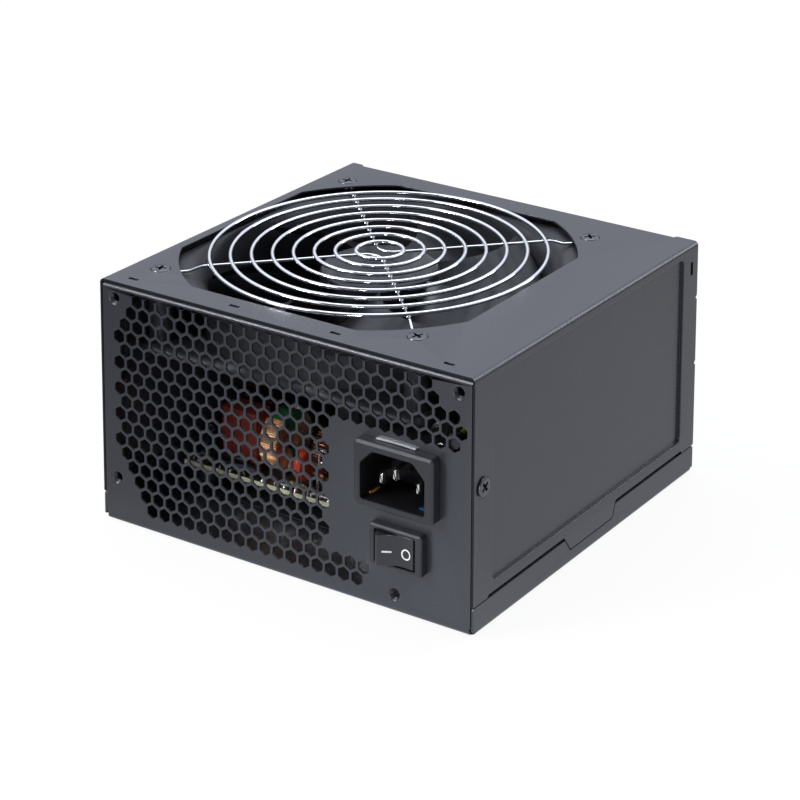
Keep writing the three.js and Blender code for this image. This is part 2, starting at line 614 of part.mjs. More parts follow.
// ---------------------------------------------------------------- mains inlet
function inletHousing() {
  const { x, z, w, h, cavX, cavZ, cavW, cavH, chamfer, bodyHalfW, bodyHalfH } = INLET;
  const flange = bevelled(x - w / 2, x + w / 2, z - h / 2, z + h / 2,
    INLET_FRONT, -HALF_D - 0.1, 0.7, 0.7);
  const body = boxAround(cavX, cavZ, bodyHalfW, bodyHalfH, -HALF_D - 0.5, -55);
  const left = cavX - cavW / 2;
  const right = cavX + cavW / 2;
  const bottom = cavZ - cavH / 2;
  const top = cavZ + cavH / 2;
  const cavity = [
    [left, bottom], [right, bottom], [right, top - chamfer],
    [right - chamfer, top], [left + chamfer, top], [left, top - chamfer]];
  const slots = INLET_PINS.map((pin) =>
    boxAround(pin.x, pin.z, PIN_HALF_W + GAP, PIN_HALF_H + GAP, -60, -50));
  return cut(join(flange, body), prism('y', cavity, INLET_FRONT - 1, -57.2), ...slots);
}
add('inlet_housing', inletHousing(), FINISH.blackPlastic);
for (const { name, x, z, tip } of INLET_PINS) {
  add(name, bevelled(
    x - PIN_HALF_W, x + PIN_HALF_W, z - PIN_HALF_H, z + PIN_HALF_H, tip, -50, 1.0, 0.55),
  FINISH.steel);
}
add('inlet_spring_clip', box(38.6, 53.6, -71.1, -70.1, 57.5, 58.1), FINISH.chrome);
add('live_wire', lead([
  [39.2, -49.3, 43.9], [39.1, -47.5, 43.7], [38.2, -44.5, 41],
  [34, -40, 26], [33, -31, 9.3]], 10), FINISH.brownLead);
add('neutral_wire', lead([
  [53.2, -49.3, 43.9], [53.3, -47.5, 43.7], [54.5, -44.5, 40],
  [58, -39, 24], [59, -31, 9.3]], 10), FINISH.blueLead);
add('earth_wire', lead([
  [46.2, -49.3, 47.9], [46.3, -47.5, 48.1], [48.5, -44.8, 51.5],
  [58, -48, 60], [65.5, -58, 63], [66.5, -68.9, 63]], 12), FINISH.greenLead);

// ---------------------------------------------------------------- rocker switch
function switchHousing() {
  const { x, z, w, h, centreX, openW, openH, bodyHalfW, bodyHalfH } = SWITCH;
  const bezel = bevelled(x - w / 2, x + w / 2, z - h / 2, z + h / 2,
    SWITCH_FRONT, -HALF_D - 0.1, 0.5, 0.45);
  const body = boxAround(centreX, z, bodyHalfW, bodyHalfH, -HALF_D - 0.5, -56);
  return cut(join(bezel, body),
    boxAround(centreX, z, openW / 2, openH / 2, SWITCH_FRONT - 1, -60),
    rod('z', 1.3, z - 6.1, z + 6.1, centreX, ROCKER.pivotY, 10));
}
// Tilted about its vertical pivot: the +X half is pressed flush, the -X half stands out.
function switchRocker() {
  const { pivotY, crease, half, r, halfZ } = ROCKER;
  const { centreX, z } = SWITCH;
  const tilt = THREE.MathUtils.degToRad(ROCKER.tilt);
  // untilted outline about the pivot: u across, v outward
  const cornerU = half * Math.cos(tilt);
  const cornerV = crease + half * Math.sin(tilt);
  const startAngle = Math.atan2(cornerV, cornerU);
  const endAngle = THREE.MathUtils.degToRad(-20);
  const steps = 6;
  const flank = Array.from({ length: steps + 1 }, (_, i) => {
    const angle = startAngle + (endAngle - startAngle) * i / steps;
    const radius = i === 0 ? Math.hypot(cornerU, cornerV) : r;
    return [radius * Math.cos(angle), radius * Math.sin(angle)];
  });
  const outline = [[0, crease], ...flank, ...flank.map(([u, v]) => [-u, v]).reverse()];
  const tilted = outline.map(([u, v]) => [
    centreX + u * Math.cos(tilt) + v * Math.sin(tilt),
    pivotY - (-u * Math.sin(tilt) + v * Math.cos(tilt))]);
  return join(
    prism('z', tilted, z - halfZ, z + halfZ),
    rod('z', 1.0, z - 5.9, z + 5.9, centreX, pivotY, 12));
}
add('switch_housing', switchHousing(), FINISH.blackPlastic);
add('switch_rocker', switchRocker(), FINISH.rockerPlastic);
[41.8, 51.9].forEach((x, i) => add(`switch_terminal_${i + 1}`,
  box(x, x + 0.8, -55.9, -47.5, 20.8, 25.6), FINISH.steel));

// ---------------------------------------------------------------- circuit board
add('main_pcb', perforated('z', rect(PCB.x0, PCB.x1, PCB.y0, PCB.y1), PCB.z0, PCB.z1,
  PCB_HOLES.map(([x, y]) => circle(x, y, 1.8, 8))), FINISH.tanBoard);
add('insulator_sheet', cut(box(-68, 68, -38, 62, 1.1, 1.5),
  ...PCB_HOLES.map(([x, y]) => rod('z', 6, 0, 3, x, y, 8))), FINISH.insulator);
PCB_HOLES.forEach(([x, y], i) => add(`pcb_screw_${i + 1}`, join(
  cone('z', 2.9, 2.0, SEAT, SEAT + 1.9, x, y, 10),
  rod('z', 1.25, 4.2, SEAT + 0.1, x, y, 6)), FINISH.steel));

// ---------------------------------------------------------------- board parts
// toroid with its axis along X; height is its centre above the seat
const coil = (ringR, tubeR, x, y, height) => torus(ringR, tubeR, 6, 14, x, y, SEAT + height, 'x');

// Plate along X with fins toward +Y.
function heatsink(x0, y0, length, fins) {
  const root = y0 + 3;
  const tip = root + 7;
  const points = [[x0, y0], [x0 + length, y0], [x0 + length, root]];
  for (let i = fins - 1; i >= 0; i--) {
    const left = x0 + 2 + i * 6.2;
    const right = left + 1.4;
    points.push([right, root], [right, tip], [left, tip], [left, root]);
  }
  points.push([x0, root]);
  return extrusion('z', points, SEAT, 50);
}
// The same section turned so that its plate runs along Y and its fins toward -X.
function secondaryHeatsink() {
  const geometry = heatsink(0, 0, 44, 7);
  geometry.rotateZ(Math.PI / 2);
  geometry.translate(-22, 4, 0);
  return solid(geometry);
}
function bulkCapacitor() {
  const [x, y, radius] = [50, 17, 15];
  return join(
    rod('z', radius, SEAT, 53.2, x, y, 20),
    cone('z', radius, radius - 1, 53.15, 54.2, x, y, 20));
}
// Core frame of two plates and two side legs, then the winding block inside it.
const mainTransformer = () => join(
  box(-14, 22, 12, 40, SEAT, SEAT + 6),
  box(-14, 22, 12, 40, SEAT + 26, SEAT + 32),
  box(-14, -8.5, 12, 40, SEAT, SEAT + 32),
  box(16.5, 22, 12, 40, SEAT, SEAT + 32),
  box(-9, 17, 9, 43, SEAT + 5, SEAT + 27));
const standbyTransformer = () => join(
  box(38, 55, -19, -7, SEAT, SEAT + 17),
  box(40, 53, -21, -5, SEAT + 4, SEAT + 14));
const outputCapacitor = (x, y) => rod('z', 5, SEAT, SEAT + 20, x, y, 16);

add('x_capacitor', box(-56, -41, -31, -22, SEAT, 30.5), FINISH.redCase);
add('common_mode_choke_1', coil(6.8, 4.3, -35.4, -21.6, 11.2), FINISH.brightWinding);
add('common_mode_choke_2', coil(6.4, 4.4, -14.3, -21.6, 10.9), FINISH.darkWinding);
add('mains_fuse', rod('x', 2.8, 4, 24, -29.5, SEAT + 3.2, 12), FINISH.fuse);
add('bridge_rectifier', box(-4, 22, -22, -17.6, SEAT, 31), FINISH.blackResin);
add('pfc_inductor', coil(8, 4.2, -57, -6.5, 12.3), FINISH.pfcWinding);
add('bulk_capacitor', bulkCapacitor(), FINISH.blackSleeve);
add('primary_heatsink', solid(heatsink(-22, -8, 50, 8)), FINISH.aluminium);
add('main_transformer', mainTransformer(), FINISH.brownCore);
add('standby_transformer', standbyTransformer(), FINISH.yellowTape);
add('secondary_heatsink', secondaryHeatsink(), FINISH.aluminium);
add('output_inductor', coil(9.6, 5.2, -52, 31, 15), FINISH.outputWinding);
add('output_capacitor_1', outputCapacitor(-44.5, 51), FINISH.blueSleeve);
add('output_capacitor_2', outputCapacitor(-33, 51.4), FINISH.blueSleeve);
add('supervisor_board', box(-20, 14, 47.2, 48.8, SEAT, 34), FINISH.greenBoard);
add('modular_board', box(-66, 46, 57.6, 59.2, SEAT, 56.6), FINISH.greenBoard);

// Shroud on the upright modular board, standing through the front panel.
function outputSocket({ x, z, w }) {
  const wall = 1.1;
  const top = z + SOCKET_H / 2;
  return cut(
    boxAround(x, z, w / 2, SOCKET_H / 2, 59.3, HALF_D + 0.5),
    boxAround(x, z, w / 2 - wall, SOCKET_H / 2 - wall, 61, HALF_D + 2),
    // latch notch in the top wall
    box(x - 2.2, x + 2.2, HALF_D - 5, HALF_D + 2, top - 1.6, top - 0.6));
}
for (const socket of SOCKETS) add(socket.name, outputSocket(socket), FINISH.blackPlastic);

export default psu;
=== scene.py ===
import bpy, bmesh, json, math, random
from mathutils import Vector, Matrix
from mathutils.geometry import delaunay_2d_cdt


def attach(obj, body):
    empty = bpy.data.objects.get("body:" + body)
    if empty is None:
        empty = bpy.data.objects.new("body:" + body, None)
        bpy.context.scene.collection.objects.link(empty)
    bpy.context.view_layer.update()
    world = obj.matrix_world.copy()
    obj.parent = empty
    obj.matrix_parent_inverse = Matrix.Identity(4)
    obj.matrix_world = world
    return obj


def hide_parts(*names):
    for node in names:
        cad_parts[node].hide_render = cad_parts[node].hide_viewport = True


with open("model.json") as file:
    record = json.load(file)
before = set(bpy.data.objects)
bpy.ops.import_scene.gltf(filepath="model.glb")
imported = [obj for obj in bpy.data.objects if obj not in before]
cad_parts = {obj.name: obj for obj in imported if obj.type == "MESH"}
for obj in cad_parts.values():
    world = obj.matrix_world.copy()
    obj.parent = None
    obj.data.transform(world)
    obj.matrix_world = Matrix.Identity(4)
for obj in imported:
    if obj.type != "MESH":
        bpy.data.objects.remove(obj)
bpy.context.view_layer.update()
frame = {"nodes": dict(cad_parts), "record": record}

MM = 0.001
rnd = random.Random(7)

# All lengths below are millimetres in the row's frame; they become metres in make().
X, Y, H = 75.0, 70.0, 86.0
T = 0.8                     # steel sheet
RB = 1.6                    # outer bend radius
FX, FY = -11.2, 0.0         # fan centre
FTOP, FBOT = 83.4, 58.4


# ------------------------------------------------------------------ mesh tools
class Geo:
    def __init__(self):
        self.v, self.f, self.m = [], [], []

    def add(self, verts, faces, mat=0):
        b = len(self.v)
        self.v += [tuple(p) for p in verts]
        self.f += [tuple(b + i for i in f) for f in faces]
        self.m += [mat] * len(faces)
        return b

    def join(self, other, matrix=None, mat=None):
        b = len(self.v)
        self.v += [tuple(matrix @ Vector(p)) for p in other.v] if matrix else other.v
        self.f += [tuple(b + i for i in f) for f in other.f]
        self.m += other.m if mat is None else [mat] * len(other.f)


def basis_front(n, o=(0, 0, 0)):
    """(u, v, depth) to (x, y, z) for a sheet whose outer face looks along n; depth goes inward."""
    ox, oy, oz = o
    return {
        "-y": lambda u, v, w: (ox + u, oy + w, oz + v),
        "+y": lambda u, v, w: (ox - u, oy - w, oz + v),
        "+x": lambda u, v, w: (ox - w, oy + u, oz + v),
        "-x": lambda u, v, w: (ox + w, oy - u, oz + v),
        "+z": lambda u, v, w: (ox + u, oy + v, oz - w),
        "-z": lambda u, v, w: (ox + u, oy - v, oz + w),
    }[n]


def ccw(loop):
    a = sum(loop[i - 1][0] * loop[i][1] - loop[i][0] * loop[i - 1][1] for i in range(len(loop)))
    return list(loop) if a > 0 else list(reversed(loop))


def offset(loop, d):
    """A counter-clockwise loop grown by d."""
    if abs(d) < 1e-9:
        return [tuple(p) for p in loop]
    out, n = [], len(loop)
    for i in range(n):
        p0, p, p1 = Vector(loop[i - 1][:2]), Vector(loop[i][:2]), Vector(loop[(i + 1) % n][:2])
        e0, e1 = (p - p0).normalized(), (p1 - p).normalized()
        n0, n1 = Vector((e0.y, -e0.x)), Vector((e1.y, -e1.x))
        m = n0 + n1
        if m.length < 1e-6:
            m = n0
        m.normalize()
        out.append(tuple(p + m * (d / max(0.35, m.dot(n0)))))
    return out


def cdt_fill(outer, inners):
    pts, faces = [], []
    for loop in [outer] + inners:
        b = len(pts)
        pts += [Vector(p) for p in loop]
        faces.append(list(range(b, b + len(loop))))
    v, e, f, ov, oe, of = delaunay_2d_cdt(pts, [], faces, 1, 1e-6, True)
    remap = [o[0] if o else None for o in ov]
    tris = []
    for tri, owners in zip(f, of):
        if 0 in owners and len(owners) == 1 and all(remap[i] is not None for i in tri):
            tris.append([remap[i] for i in tri])
    return tris


def plate(g, to, outer, holes, t=T, skip=(), mat=0, edge=0.0):
    """A flat sheet. holes: list of (loop, profile) with profile [(offset, depth), ...] from the outer face to the inner one.
    skip: outer edges (by index of their first vertex) with no wall. edge: chamfer of the outer boundary."""
    outer = ccw(outer)
    holes = [(ccw(l), p) for l, p in holes]
    fronts = [offset(l, p[0][0]) for l, p in holes]
    backs = [offset(l, p[-1][0]) for l, p in holes]
    out_f = offset(outer, -edge) if edge else outer
    for loops, w, flip in ((fronts, 0.0, False), (backs, t, True)):
        o = out_f
        tris = cdt_fill(o, loops)
        pts = [p for l in [o] + loops for p in l]
        g.add([to(p[0], p[1], w) for p in pts], [tuple(reversed(q)) if flip else tuple(q) for q in tris], mat)
    n = len(outer)
    rings = [(out_f, 0.0), (outer, edge), (outer, t - edge), (out_f, t)] if edge else [(outer, 0.0), (outer, t)]
    for (la, wa), (lb, wb) in zip(rings, rings[1:]):
        for i in range(n):
            if i in skip:
                continue
            a, b = la[i], la[(i + 1) % n]
            c, d = lb[(i + 1) % n], lb[i]
            g.add([to(*a, wa), to(*d, wb), to(*c, wb), to(*b, wa)], [(0, 1, 2, 3)], mat)
    for loop, prof in holes:
        m = len(loop)
        levels = [[to(*p, w) for p in offset(loop, o)] for o, w in prof]
        b = len(g.v)
        vs = [p for lv in levels for p in lv]
        fs = []
        for k in range(len(levels) - 1):
            for i in range(m):
                j = (i + 1) % m
                fs.append((k * m + i, k * m + j, (k + 1) * m + j, (k + 1) * m + i))
        g.add(vs, fs, mat)


def pan(g, to, loop, front, back, mat=0):
    """Closes a hole with a pressed-in floor: front profile from the outer face, back profile from the inner face."""
    loop = ccw(loop)
    m = len(loop)
    for prof, flip in ((front, False), (back, True)):
        levels = [[to(*p, w) for p in offset(loop, o)] for o, w in prof]
        vs = [p for lv in levels for p in lv]
        fs = []
        for k in range(len(levels) - 1):
            for i in range(m):
                j = (i + 1) % m
                q = (k * m + i, k * m + j, (k + 1) * m + j, (k + 1) * m + i)
                fs.append(tuple(reversed(q)) if flip else q)
        last = (len(levels) - 1) * m
        cap = tuple(last + i for i in range(m))
        fs.append(tuple(reversed(cap)) if flip else cap)
        g.add(vs, fs, mat)


def bend(g, axis, a0, a1, c, ro, ri, t0, t1, n=10, mat=0):
    """A quarter bend of sheet along axis 'x' or 'y' from a0 to a1, open at its two straight ends, closed at its side ends."""
    def at(a, r, th):
        p, q = c[0] + r * math.cos(th), c[1] + r * math.sin(th)
        return (a, p, q) if axis == "x" else (p, a, q)
    vs, fs = [], []
    for i in range(n + 1):
        th = t0 + (t1 - t0) * i / n
        vs += [at(a0, ro, th), at(a1, ro, th), at(a1, ri, th), at(a0, ri, th)]
    for i in range(n):
        b, d = i * 4, i * 4 + 4
        fs += [(b, b + 1, d + 1, d), (b + 2, b + 3, d + 3, d + 2), (b + 1, b + 2, d + 2, d + 1), (b + 3, b, d, d + 3)]
    g.add(vs, fs, mat)


def rect(x0, x1, y0, y1):
    return [(x0, y0), (x1, y0), (x1, y1), (x0, y1)]


def rrect(x0, x1, y0, y1, r, n=5):
    out = []
    for cx, cy, a in ((x1 - r, y0 + r, -90), (x1 - r, y1 - r, 0), (x0 + r, y1 - r, 90), (x0 + r, y0 + r, 180)):
        for i in range(n + 1):
            t = math.radians(a + 90 * i / n)
            out.append((cx + r * math.cos(t), cy + r * math.sin(t)))
    return out


def circ(cx, cy, r, n, ph=0.0):
    return [(cx + r * math.cos(ph + 2 * math.pi * i / n), cy + r * math.sin(ph + 2 * math.pi * i / n)) for i in range(n)]


def rounded(poly, r, n=3):
    """Rounds every corner of a polygon by cutting r along its edges."""
    out = []
    k = len(poly)
    for i in range(k):
        p0, p, p1 = Vector(poly[i - 1]), Vector(poly[i]), Vector(poly[(i + 1) % k])
        a, b = (p0 - p), (p1 - p)
        ra = min(r, a.length * 0.45); rb = min(r, b.length * 0.45)
        s, e = p + a.normalized() * ra, p + b.normalized() * rb
        for j in range(n + 1):
            t = j / n
            out.append(tuple(s * (1 - t) ** 2 + p * 2 * t * (1 - t) + e * t * t))
    return out


def stack(g, to, loops, caps=(True, True), mat=0):
    """Walls through loops [(loop, depth), ...] of equal length, with flat caps."""
    m = len(loops[0][0])
    vs = [to(p[0], p[1], w) for l, w in loops for p in l]
    fs = []
    for k in range(len(loops) - 1):
        for i in range(m):
            j = (i + 1) % m
            fs.append((k * m + i, k * m + j, (k + 1) * m + j, (k + 1) * m + i))
    if caps[0]:
        fs.append(tuple(reversed(range(m))))
    if caps[1]:
        fs.append(tuple((len(loops) - 1) * m + i for i in range(m)))
    g.add(vs, fs, mat)


def soft_prism(g, to, outline, w0, w1, e=0.4, n=3, mat=0, e1=None):
    """A prism from depth w0 to w1 whose two rims are rounded by e."""
    outline = ccw(outline)
    e1 = e if e1 is None else e1
    loops = []
    for i in range(n + 1):
        t = math.pi / 2 * i / n
        loops.append((offset(outline, -e * (1 - math.sin(t))), w0 + e * (1 - math.cos(t))))
    for i in range(n + 1):
        t = math.pi / 2 * (1 - i / n)
        loops.append((offset(outline, -e1 * (1 - math.sin(t))), w1 - e1 * (1 - math.cos(t))))
    stack(g, to, loops, mat=mat)


def lathe(g, prof, n, c, axis="z", mat=0, closed=False, phase=0.0):
    """Revolves [r, a] about an axis through c. Points with r=0 close on the axis; closed joins the profile's ends."""
    def at(r, a, th):
        u, v = r * math.cos(th), r * math.sin(th)
        if axis == "z":
            return (c[0] + u, c[1] + v, c[2] + a)
        if axis == "x":
            return (c[0] + a, c[1] + u, c[2] + v)
        return (c[0] + u, c[1] + a, c[2] + v)
    vs, idx = [], []
    for r, a in prof:
        if abs(r) < 1e-9:
            idx.append([len(vs)] * n)
            vs.append(at(0, a, 0))
        else:
            idx.append(list(range(len(vs), len(vs) + n)))
            vs += [at(r, a, phase + 2 * math.pi * i / n) for i in range(n)]
    fs = []
    pairs = list(zip(idx, idx[1:])) + ([(idx[-1], idx[0])] if closed else [])
    for p, q in pairs:
        for i in range(n):
            j = (i + 1) % n
            quad = [p[i], p[j], q[j], q[i]]
            face = [a for k, a in enumerate(quad) if a != quad[k - 1]]
            if len(face) >= 3:
                fs.append(tuple(face))
    g.add(vs, fs, mat)


def sweep(g, path, r, n=8, closed=False, mat=0, r2=None):
    """A round bar along a path, by parallel transport. r may be a list."""
    P = [Vector(p) for p in path]
    k = len(P)
    tang = []
    for i in range(k):
        a = P[i - 1] if (closed or i > 0) else P[i]
        b = P[(i + 1) % k] if (closed or i < k - 1) else P[i]
        tang.append((b - a).normalized())
    t0 = tang[0]
    up = Vector((0, 0, 1)) if abs(t0.z) < 0.9 else Vector((1, 0, 0))
    nrm = (up - t0 * up.dot(t0)).normalized()
    vs, fs = [], []
    for i in range(k):
        t = tang[i]
        if i:
            axis = tang[i - 1].cross(t)
            if axis.length > 1e-9:
                ang = tang[i - 1].angle(t)
                nrm = Matrix.Rotation(ang, 3, axis.normalized()) @ nrm
        nrm = (nrm - t * nrm.dot(t)).normalized()
        bi = t.cross(nrm)
        rr = r[i] if isinstance(r, (list, tuple)) else r
        rb = rr if r2 is None else r2
        for j in range(n):
            a = 2 * math.pi * j / n
            vs.append(P[i] + nrm * (rr * math.cos(a)) + bi * (rb * math.sin(a)))
    for i in range(k if closed else k - 1):
        for j in range(n):
            a, b = i * n + j, i * n + (j + 1) % n
            c, d = ((i + 1) % k) * n + (j + 1) % n, ((i + 1) % k) * n + j
            fs.append((a, b, c, d))
    if not closed:
        fs.append(tuple(reversed(range(n))))
        fs.append(tuple((k - 1) * n + j for j in range(n)))
    g.add(vs, fs, mat)


def smooth_path(pts, steps=8):
    """Catmull-Rom through pts."""
    P = [Vector(p) for p in pts]
    P = [P[0] * 2 - P[1]] + P + [P[-1] * 2 - P[-2]]
    out = []
    for i in range(1, len(P) - 2):
        p0, p1, p2, p3 = P[i - 1:i + 3]
        for s in range(steps):
            t = s / steps
            out.append(0.5 * ((2 * p1) + (p2 - p0) * t + (2 * p0 - 5 * p1 + 4 * p2 - p3) * t * t + (3 * p1 - p0 - 3 * p2 + p3) * t ** 3))
    out.append(P[-2])
    return out


def box(g, x0, x1, y0, y1, z0, z1, e=0.0, n=2, mat=0):
    if e <= 0:
        soft = [(rect(x0, x1, y0, y1), 0.0), (rect(x0, x1, y0, y1), z1 - z0)]
        stack(g, lambda u, v, w: (u, v, z0 + w), soft, mat=mat)
    else:
        soft_prism(g, lambda u, v, w: (u, v, z0 + w), rrect(x0, x1, y0, y1, e, n), 0.0, z1 - z0, e, n, mat)


def make(name, g, mats, body="root", repl=(), slot=None, merge=1e-4, angle=32, flat=False, recalc=True):
    me = bpy.data.meshes.new(name)
    me.from_pydata([(x * MM, y * MM, z * MM) for x, y, z in g.v], [], g.f)
    mats = mats if isinstance(mats, (list, tuple)) else [mats]
    for m in mats:
        me.materials.append(m)
    me.polygons.foreach_set("material_index", [min(i, len(mats) - 1) for i in g.m])
    me.polygons.foreach_set("use_smooth", [not flat] * len(me.polygons))
    bm = bmesh.new()
    bm.from_mesh(me)
    bmesh.ops.remove_doubles(bm, verts=bm.verts, dist=merge * MM)
    bmesh.ops.dissolve_degenerate(bm, edges=bm.edges, dist=1e-6 * MM)
    if recalc:
        bmesh.ops.recalc_face_normals(bm, faces=bm.faces)
    bm.to_mesh(me)
    bm.free()
    if not flat:
        me.set_sharp_from_angle(angle=math.radians(angle))
    me.update()
    ob = bpy.data.objects.new(name, me)
    bpy.context.scene.collection.objects.link(ob)
    if not flat:
        wn = ob.modifiers.new("flat_faces_stay_flat", "WEIGHTED_NORMAL")
        wn.mode, wn.weight, wn.keep_sharp = "FACE_AREA", 50, True
    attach(ob, body)
    if repl:
        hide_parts(*([repl] if isinstance(repl, str) else repl))
    return ob


# ------------------------------------------------------------------ materials
def new_mat(name):
    m = bpy.data.materials.new(name)
    m.use_nodes = True
    nt = m.node_tree
    nt.nodes.clear()
    out = nt.nodes.new("ShaderNodeOutputMaterial")
    bs = nt.nodes.new("ShaderNodeBsdfPrincipled")
    nt.links.new(bs.outputs[0], out.inputs[0])
    return m, nt, bs


def node(nt, kind, **kw):
    n = nt.nodes.new(kind)
    for k, v in kw.items():
        if k in n.inputs:
            n.inputs[k].default_value = v
        else:
            setattr(n, k, v)
    return n


def ramp(nt, src, stops):
    r = nt.nodes.new("ShaderNodeValToRGB")
    el = r.color_ramp.elements
    while len(el) < len(stops):
        el.new(0.5)
    for e, (p, c) in zip(el, stops):
        e.position = p
        e.color = (c, c, c, 1) if isinstance(c, (int, float)) else (*c, 1)
    nt.links.new(src, r.inputs[0])
    return r.outputs[0]


def noise(nt, vec, scale, detail=3.0, rough=0.55, stretch=None, dist=0.0):
    n = nt.nodes.new("ShaderNodeTexNoise")
    n.inputs["Scale"].default_value = scale
    n.inputs["Detail"].default_value = detail
    n.inputs["Roughness"].default_value = rough
    n.inputs["Distortion"].default_value = dist
    if stretch:
        mp = nt.nodes.new("ShaderNodeMapping")
        mp.inputs["Scale"].default_value = stretch
        nt.links.new(vec, mp.inputs[0])
        vec = mp.outputs[0]
    nt.links.new(vec, n.inputs["Vector"])
    return n.outputs["Fac"]


def mix_rgb(nt, fac, a, b, mode="MIX"):
    m = nt.nodes.new("ShaderNodeMix")
    m.data_type = "RGBA"
    m.blend_type = mode
    for sock, val in ((m.inputs[0], fac), (m.inputs[6], a), (m.inputs[7], b)):
        if hasattr(val, "is_output") or hasattr(val, "links"):
            nt.links.new(val, sock)
        elif isinstance(val, (int, float)):
            sock.default_value = val
        else:
            sock.default_value = (*val, 1)
    return m.outputs[2]


def bump(nt, bs, height, strength, distance, prev=None):
    b = nt.nodes.new("ShaderNodeBump")
    b.inputs["Strength"].default_value = strength
    b.inputs["Distance"].default_value = distance
    nt.links.new(height, b.inputs["Height"])
    if prev is not None:
        nt.links.new(prev, b.inputs["Normal"])
    return b.outputs[0]


def coat_mat(name, color, rough=0.42, grain=1.0, edge_highlight_amount=0.25, spec=0.5):
    """Satin powder coat: fine orange-peel and grain, faint mottling, and a painted highlight that lightens convex
    edges.
    """
    m, nt, bs = new_mat(name)
    tc = nt.nodes.new("ShaderNodeTexCoord").outputs["Object"]
    fine = noise(nt, tc, 5200, 2.0, 0.6)
    peel = noise(nt, tc, 1500, 2.0, 0.5)
    cloud = noise(nt, tc, 38, 3.0, 0.5)
    dark = tuple(c * 0.93 for c in color)
    lite = tuple(min(1, c * 1.06) for c in color)
    col = mix_rgb(nt, ramp(nt, cloud, [(0.3, 0.0), (0.7, 1.0)]), dark, lite)
    col = mix_rgb(nt, ramp(nt, fine, [(0.42, 0.0), (0.62, 0.10)]), col, tuple(min(1, c * 1.35) for c in color))
    # painted highlight: convex edges, found by pointiness, are lightened towards 2.4 times the coat colour
    geo = nt.nodes.new("ShaderNodeNewGeometry")
    edge = ramp(nt, geo.outputs["Pointiness"], [(0.53, 0.0), (0.60, edge_highlight_amount)])
    col = mix_rgb(nt, edge, col, tuple(min(1, c * 2.4) for c in color))
    nt.links.new(col, bs.inputs["Base Color"])
    r = ramp(nt, peel, [(0.3, rough - 0.05), (0.7, rough + 0.06)])
    nt.links.new(r, bs.inputs["Roughness"])
    bs.inputs["Specular IOR Level"].default_value = spec
    bs.inputs["Specular Tint"].default_value = (0.86, 0.90, 1.0, 1.0)
    n1 = bump(nt, bs, peel, 0.10 * grain, 0.00006)
    n2 = bump(nt, bs, fine, 0.16 * grain, 0.00002, n1)
    nt.links.new(n2, bs.inputs["Normal"])
    return m


def plastic_mat(name, color, rough=0.4, grain=0.12, scale=3500, spec=0.5, var=0.08, coat=0.0, painted_edge_highlight=True):
    m, nt, bs = new_mat(name)
    tc = nt.nodes.new("ShaderNodeTexCoord").outputs["Object"]
    fine = noise(nt, tc, scale, 2.0, 0.6)
    cloud = noise(nt, tc, 90, 3.0, 0.5)
    col = mix_rgb(nt, ramp(nt, cloud, [(0.3, 0.0), (0.7, 1.0)]), tuple(c * (1 - var) for c in color), tuple(min(1, c * (1 + var)) for c in color))
    # painted highlight: convex edges, found by pointiness, are lightened towards about twice the plastic colour
    if painted_edge_highlight:
        geo = nt.nodes.new("ShaderNodeNewGeometry")
        edge = ramp(nt, geo.outputs["Pointiness"], [(0.52, 0.0), (0.62, 0.22)])
        col = mix_rgb(nt, edge, col, tuple(min(1, c * 1.9 + 0.02) for c in color))
    nt.links.new(col, bs.inputs["Base Color"])
    r = ramp(nt, cloud, [(0.25, max(0.03, rough - 0.05)), (0.75, rough + 0.05)])
    nt.links.new(r, bs.inputs["Roughness"])
    bs.inputs["Specular IOR Level"].default_value = spec
    bs.inputs["Specular Tint"].default_value = (0.86, 0.90, 1.0, 1.0)
    bs.inputs["Coat Weight"].default_value = coat
    bs.inputs["Coat Roughness"].default_value = 0.08
    if grain:
        nt.links.new(bump(nt, bs, fine, grain, 0.00003), bs.inputs["Normal"])
    return m


def metal_mat(name, color, rough=0.2, brushed=None, grain=0.05, tarnish=0.1, scale=1800):
    m, nt, bs = new_mat(name)
    tc = nt.nodes.new("ShaderNodeTexCoord").outputs["Object"]
    st = brushed or (1, 1, 1)
    fine = noise(nt, tc, scale, 3.0, 0.6, stretch=st)
    cloud = noise(nt, tc, 120, 3.0, 0.5)
    col = mix_rgb(nt, ramp(nt, cloud, [(0.35, 0.0), (0.75, tarnish)]), color, tuple(c * 0.55 for c in color))
    nt.links.new(col, bs.inputs["Base Color"])
    bs.inputs["Metallic"].default_value = 1.0
    r = ramp(nt, fine, [(0.3, max(0.02, rough * 0.75)), (0.7, min(1, rough * 1.3 + 0.02))])
    nt.links.new(r, bs.inputs["Roughness"])
    if grain:
        nt.links.new(bump(nt, bs, fine, grain, 0.00002), bs.inputs["Normal"])
    return m


def board_mat(name, color, silk=True):
    """Laminate with a faint weave, buried traces and pads."""
    m, nt, bs = new_mat(name)
    tc = nt.nodes.new("ShaderNodeTexCoord").outputs["Object"]
    cells = nt.nodes.new("ShaderNodeTexVoronoi")
    cells.feature = "DISTANCE_TO_EDGE"
    cells.distance = "CHEBYCHEV"
    cells.inputs["Scale"].default_value = 190
    nt.links.new(tc, cells.inputs["Vector"])
    trace = ramp(nt, cells.outputs["Distance"], [(0.06, 1.0), (0.075, 0.0)])
    weave = noise(nt, tc, 2500, 1.0, 0.5, stretch=(1, 1, 0.2))
    col = mix_rgb(nt, trace, color, tuple(min(1, c * 1.5 + 0.01) for c in color))
    col = mix_rgb(nt, ramp(nt, weave, [(0.35, 0.0), (0.65, 0.25)]), col, tuple(c * 0.7 for c in color))
    nt.links.new(col, bs.inputs["Base Color"])
    bs.inputs["Roughness"].default_value = 0.38
    nt.links.new(bump(nt, bs, trace, 0.3, 0.00004), bs.inputs["Normal"])
    return m


